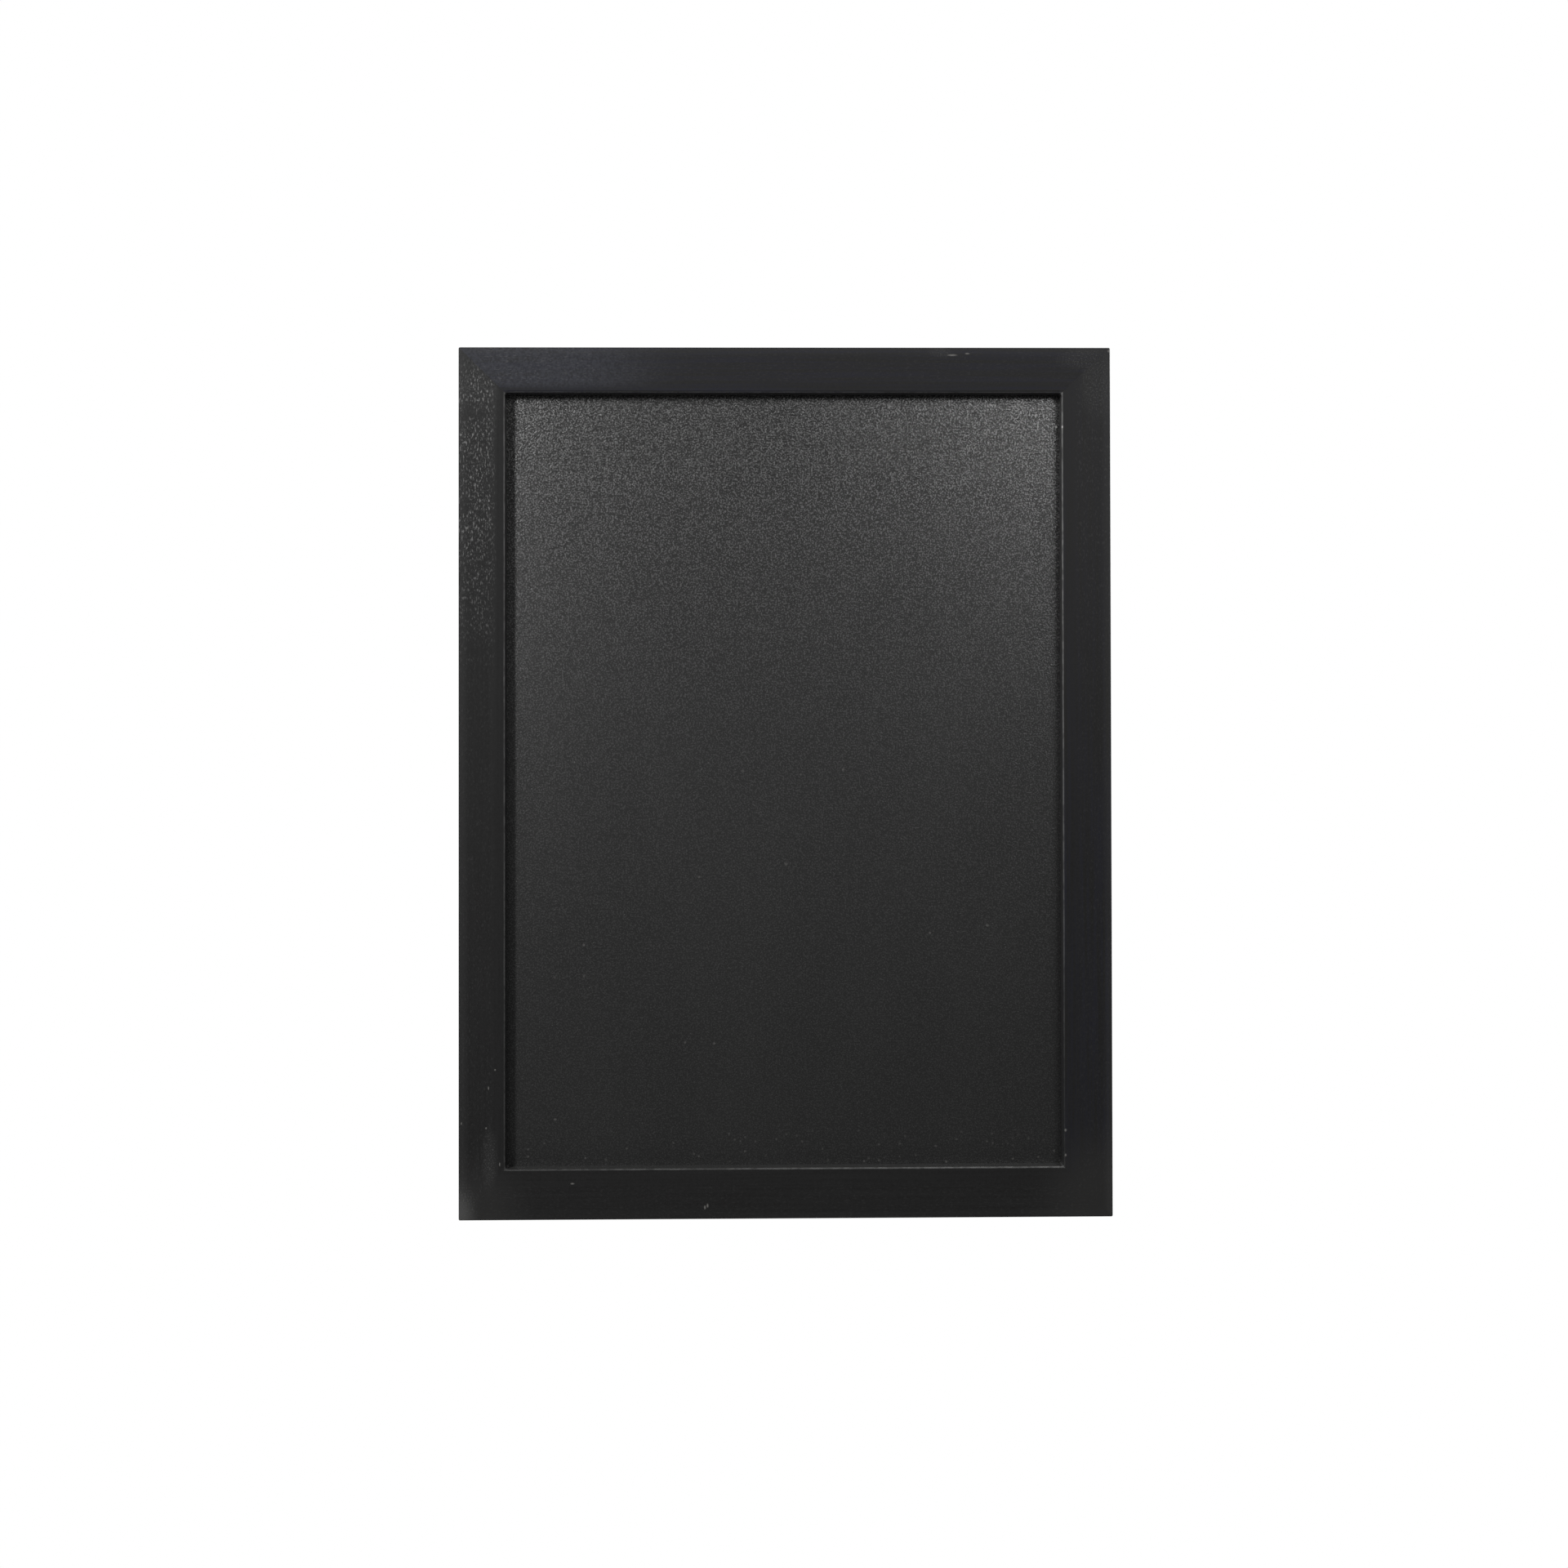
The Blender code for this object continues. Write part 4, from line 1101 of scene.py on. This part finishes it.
bpy.ops.mesh.extrude_region_move(TRANSFORM_OT_translate={"value": (0, -ramp, -ramp)})
ramp_foot = -knuckle_end - ramp
bpy.ops.mesh.extrude_region_move(TRANSFORM_OT_translate={"value": (0, 0, -STRAP_LENGTH - ramp_foot)})
pick(strap, "EDGE", lambda e: lies_at(e, UPPER_LAYER, ramp_foot))
bpy.ops.mesh.bevel(offset=RAMP_ROUND, segments=RAMP_STEPS, profile=0.5, affect="EDGES")
pick(strap, "VERT", lambda v: abs(v.co.z + STRAP_LENGTH) < NEAR)
bpy.ops.mesh.bevel(offset=TAIL_ROUND, segments=TAIL_STEPS, profile=0.5, affect="VERTICES")
bpy.ops.mesh.select_all(action="SELECT")
bpy.ops.mesh.remove_doubles(threshold=NEAR)
bpy.ops.mesh.normals_make_consistent(inside=False)
bpy.ops.object.mode_set(mode="OBJECT")
strip = strap.modifiers.new("strip", "SOLIDIFY")
strip.thickness = STRAP_THICKNESS
strip.offset = 0
strip.use_even_offset = True
bpy.ops.object.modifier_apply(modifier=strip.name)
rims = strap.modifiers.new("rims", "BEVEL")
rims.width = STRAP_RIM
rims.segments = STRAP_RIM_STEPS
rims.limit_method = "ANGLE"
rims.angle_limit = STRAP_SHARP
bpy.ops.object.modifier_apply(modifier=rims.name)
carve(strap, add_rod(SHANK_RADIUS + BORE_PLAY, 4 * KNUCKLE_RADIUS, (0, 0, -STRAP_HOLE_DROP)))
only(strap)
bpy.ops.object.shade_smooth_by_angle(angle=STRAP_SMOOTH)
strap.data.materials.append(
    metal("strap_nickel", NICKEL_DULL, NICKEL_BRIGHT, NICKEL_ROUGHNESS, NICKEL_BRUSHING, NICKEL_CLOUDS)
)
for side in ("left", "right"):
    hanger = place_copy(strap, f"folded_strap_{side}", pivots[f"ring_{side}"])
    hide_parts(f"hanger_strap_{side}")
    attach(hanger, "board")
bpy.data.objects.remove(strap)

# Hanging rings: nickel plated wire bent to a D. The straight bar turns in the strap's knuckle, and the round
# end hangs on a hook in the wall or folds back against the rail.
WIRE_RADIUS = 0.001
RING_HALF_WIDTH = 0.0064
RING_CORNER = 0.0016
RING_SIDE = 0.003
RING_LEAN = math.radians(4.43)
RING_SIDES = 64
RING_CORNER_STEPS = 8
WIRE_STEPS = 6
WIRE_SMOOTH = math.radians(60)
WIRE_DULL = (0.48, 0.47, 0.45, 1)
WIRE_BRIGHT = (0.70, 0.69, 0.67, 1)
WIRE_ROUGHNESS = 0.20
WIRE_BRUSHING = (1200, 1200, 300)
WIRE_CLOUDS = 420.0

shoulder = RING_CORNER + RING_SIDE
bpy.ops.object.select_all(action="DESELECT")
bpy.ops.mesh.primitive_circle_add(
    vertices=RING_SIDES, radius=RING_HALF_WIDTH, location=(0, 0, shoulder), rotation=(math.radians(90), 0, 0)
)
ring = bpy.context.object
apply_place(ring)
bpy.ops.object.mode_set(mode="EDIT")
pick(ring, "VERT", lambda v: v.co.z < shoulder - NEAR)
bpy.ops.mesh.delete(type="VERT")
pick(ring, "VERT", lambda v: v.co.z < shoulder + NEAR)
bpy.ops.mesh.extrude_region_move(TRANSFORM_OT_translate={"value": (0, 0, -shoulder)})
bpy.ops.mesh.edge_face_add()
pick(ring, "VERT", lambda v: abs(v.co.z) < NEAR)
bpy.ops.mesh.bevel(offset=RING_CORNER, segments=RING_CORNER_STEPS, profile=0.5, affect="VERTICES")
bpy.ops.object.mode_set(mode="OBJECT")
bpy.ops.object.convert(target="CURVE")
ring.data.bevel_depth = WIRE_RADIUS
ring.data.bevel_resolution = WIRE_STEPS
bpy.ops.object.convert(target="MESH")
ring.rotation_euler = (RING_LEAN, 0, 0)
apply_place(ring)
bpy.ops.object.mode_set(mode="EDIT")
bpy.ops.mesh.select_all(action="SELECT")
bpy.ops.mesh.remove_doubles(threshold=NEAR)
bpy.ops.mesh.normals_make_consistent(inside=False)
bpy.ops.object.mode_set(mode="OBJECT")
bpy.ops.object.shade_smooth_by_angle(angle=WIRE_SMOOTH)
ring.data.materials.append(
    metal("ring_nickel", WIRE_DULL, WIRE_BRIGHT, WIRE_ROUGHNESS, WIRE_BRUSHING, WIRE_CLOUDS)
)
for side in ("left", "right"):
    hung = place_copy(ring, f"wire_ring_{side}", pivots[f"ring_{side}"])
    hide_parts(f"hanging_ring_{side}")
    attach(hung, f"ring_{side}")
bpy.data.objects.remove(ring)

# Wall pads: moulded black rubber feet, glued to the bottom rail's back. They hold the foot of the board as
# far off the wall as the hangers hold its top. Each has a rounded rim and a small moulding mark.
PAD_RADIUS = 0.006
PAD_EDGE = 0.001
PAD_SKIRT = 0.0004
PAD_SIDES = 64
PAD_EDGE_STEPS, PAD_SKIRT_STEPS = 6, 3
PAD_SMOOTH = math.radians(30)
MARK_RADIUS = 0.0016
MARK_RIM = 0.00048
MARK_DEPTH = 0.0004
RUBBER_BLACK = (0.022, 0.022, 0.022, 1)
RUBBER_DUSTY = (0.050, 0.049, 0.047, 1)
BLOOM_GRAIN = 380
BLOOM_RANGE = (0.42, 0.72)
RUBBER_ROUGHNESS = (0.2, 0.62)
SKIN_GRAIN = 4000
SKIN_DEPTH = 0.00005
SKIN_STRENGTH = 0.5

pad_low, pad_high = (Vector(corner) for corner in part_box("wall_pad_left"))
pad_height = pad_high.y - pad_low.y
pad = add_rod(PAD_RADIUS, pad_height, (0, 0, 0), PAD_SIDES)
bpy.ops.object.mode_set(mode="EDIT")
pick(pad, "EDGE", lambda e: all(v.co.y > pad_height / 2 - NEAR for v in e.verts))
bpy.ops.mesh.bevel(offset=PAD_EDGE, segments=PAD_EDGE_STEPS, profile=0.5, affect="EDGES")
pick(pad, "EDGE", lambda e: all(v.co.y < NEAR - pad_height / 2 for v in e.verts))
bpy.ops.mesh.bevel(offset=PAD_SKIRT, segments=PAD_SKIRT_STEPS, profile=0.5, affect="EDGES")
pick(pad, "FACE", lambda f: f.normal.y > FACING and f.calc_center_median().xz.length < NEAR)
bpy.ops.mesh.inset(thickness=PAD_RADIUS - PAD_EDGE - MARK_RADIUS)
bpy.ops.mesh.inset(thickness=MARK_RIM)
bpy.ops.transform.translate(value=(0, -MARK_DEPTH, 0))
bpy.ops.object.mode_set(mode="OBJECT")
bpy.ops.object.shade_smooth_by_angle(angle=PAD_SMOOTH)
rubber, tree, shader, place = new_material("pad_rubber")
bloom = stretched_noise(tree, place, BLOOM_GRAIN, 5.0)
dusty = mix_colours(tree, spread(tree, bloom, *BLOOM_RANGE), RUBBER_BLACK, RUBBER_DUSTY)
tree.links.new(dusty, shader.inputs["Base Color"])
tree.links.new(maths(tree, "MULTIPLY_ADD", bloom, *RUBBER_ROUGHNESS), shader.inputs["Roughness"])
emboss(tree, shader, stretched_noise(tree, place, SKIN_GRAIN), SKIN_DEPTH, SKIN_STRENGTH)
pad.data.materials.append(rubber)
for side in ("left", "right"):
    low, high = (Vector(corner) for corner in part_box(f"wall_pad_{side}"))
    foot = place_copy(pad, f"rubber_foot_{side}", (low + high) / 2)
    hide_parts(f"wall_pad_{side}")
    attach(foot, "board")
bpy.data.objects.remove(pad)
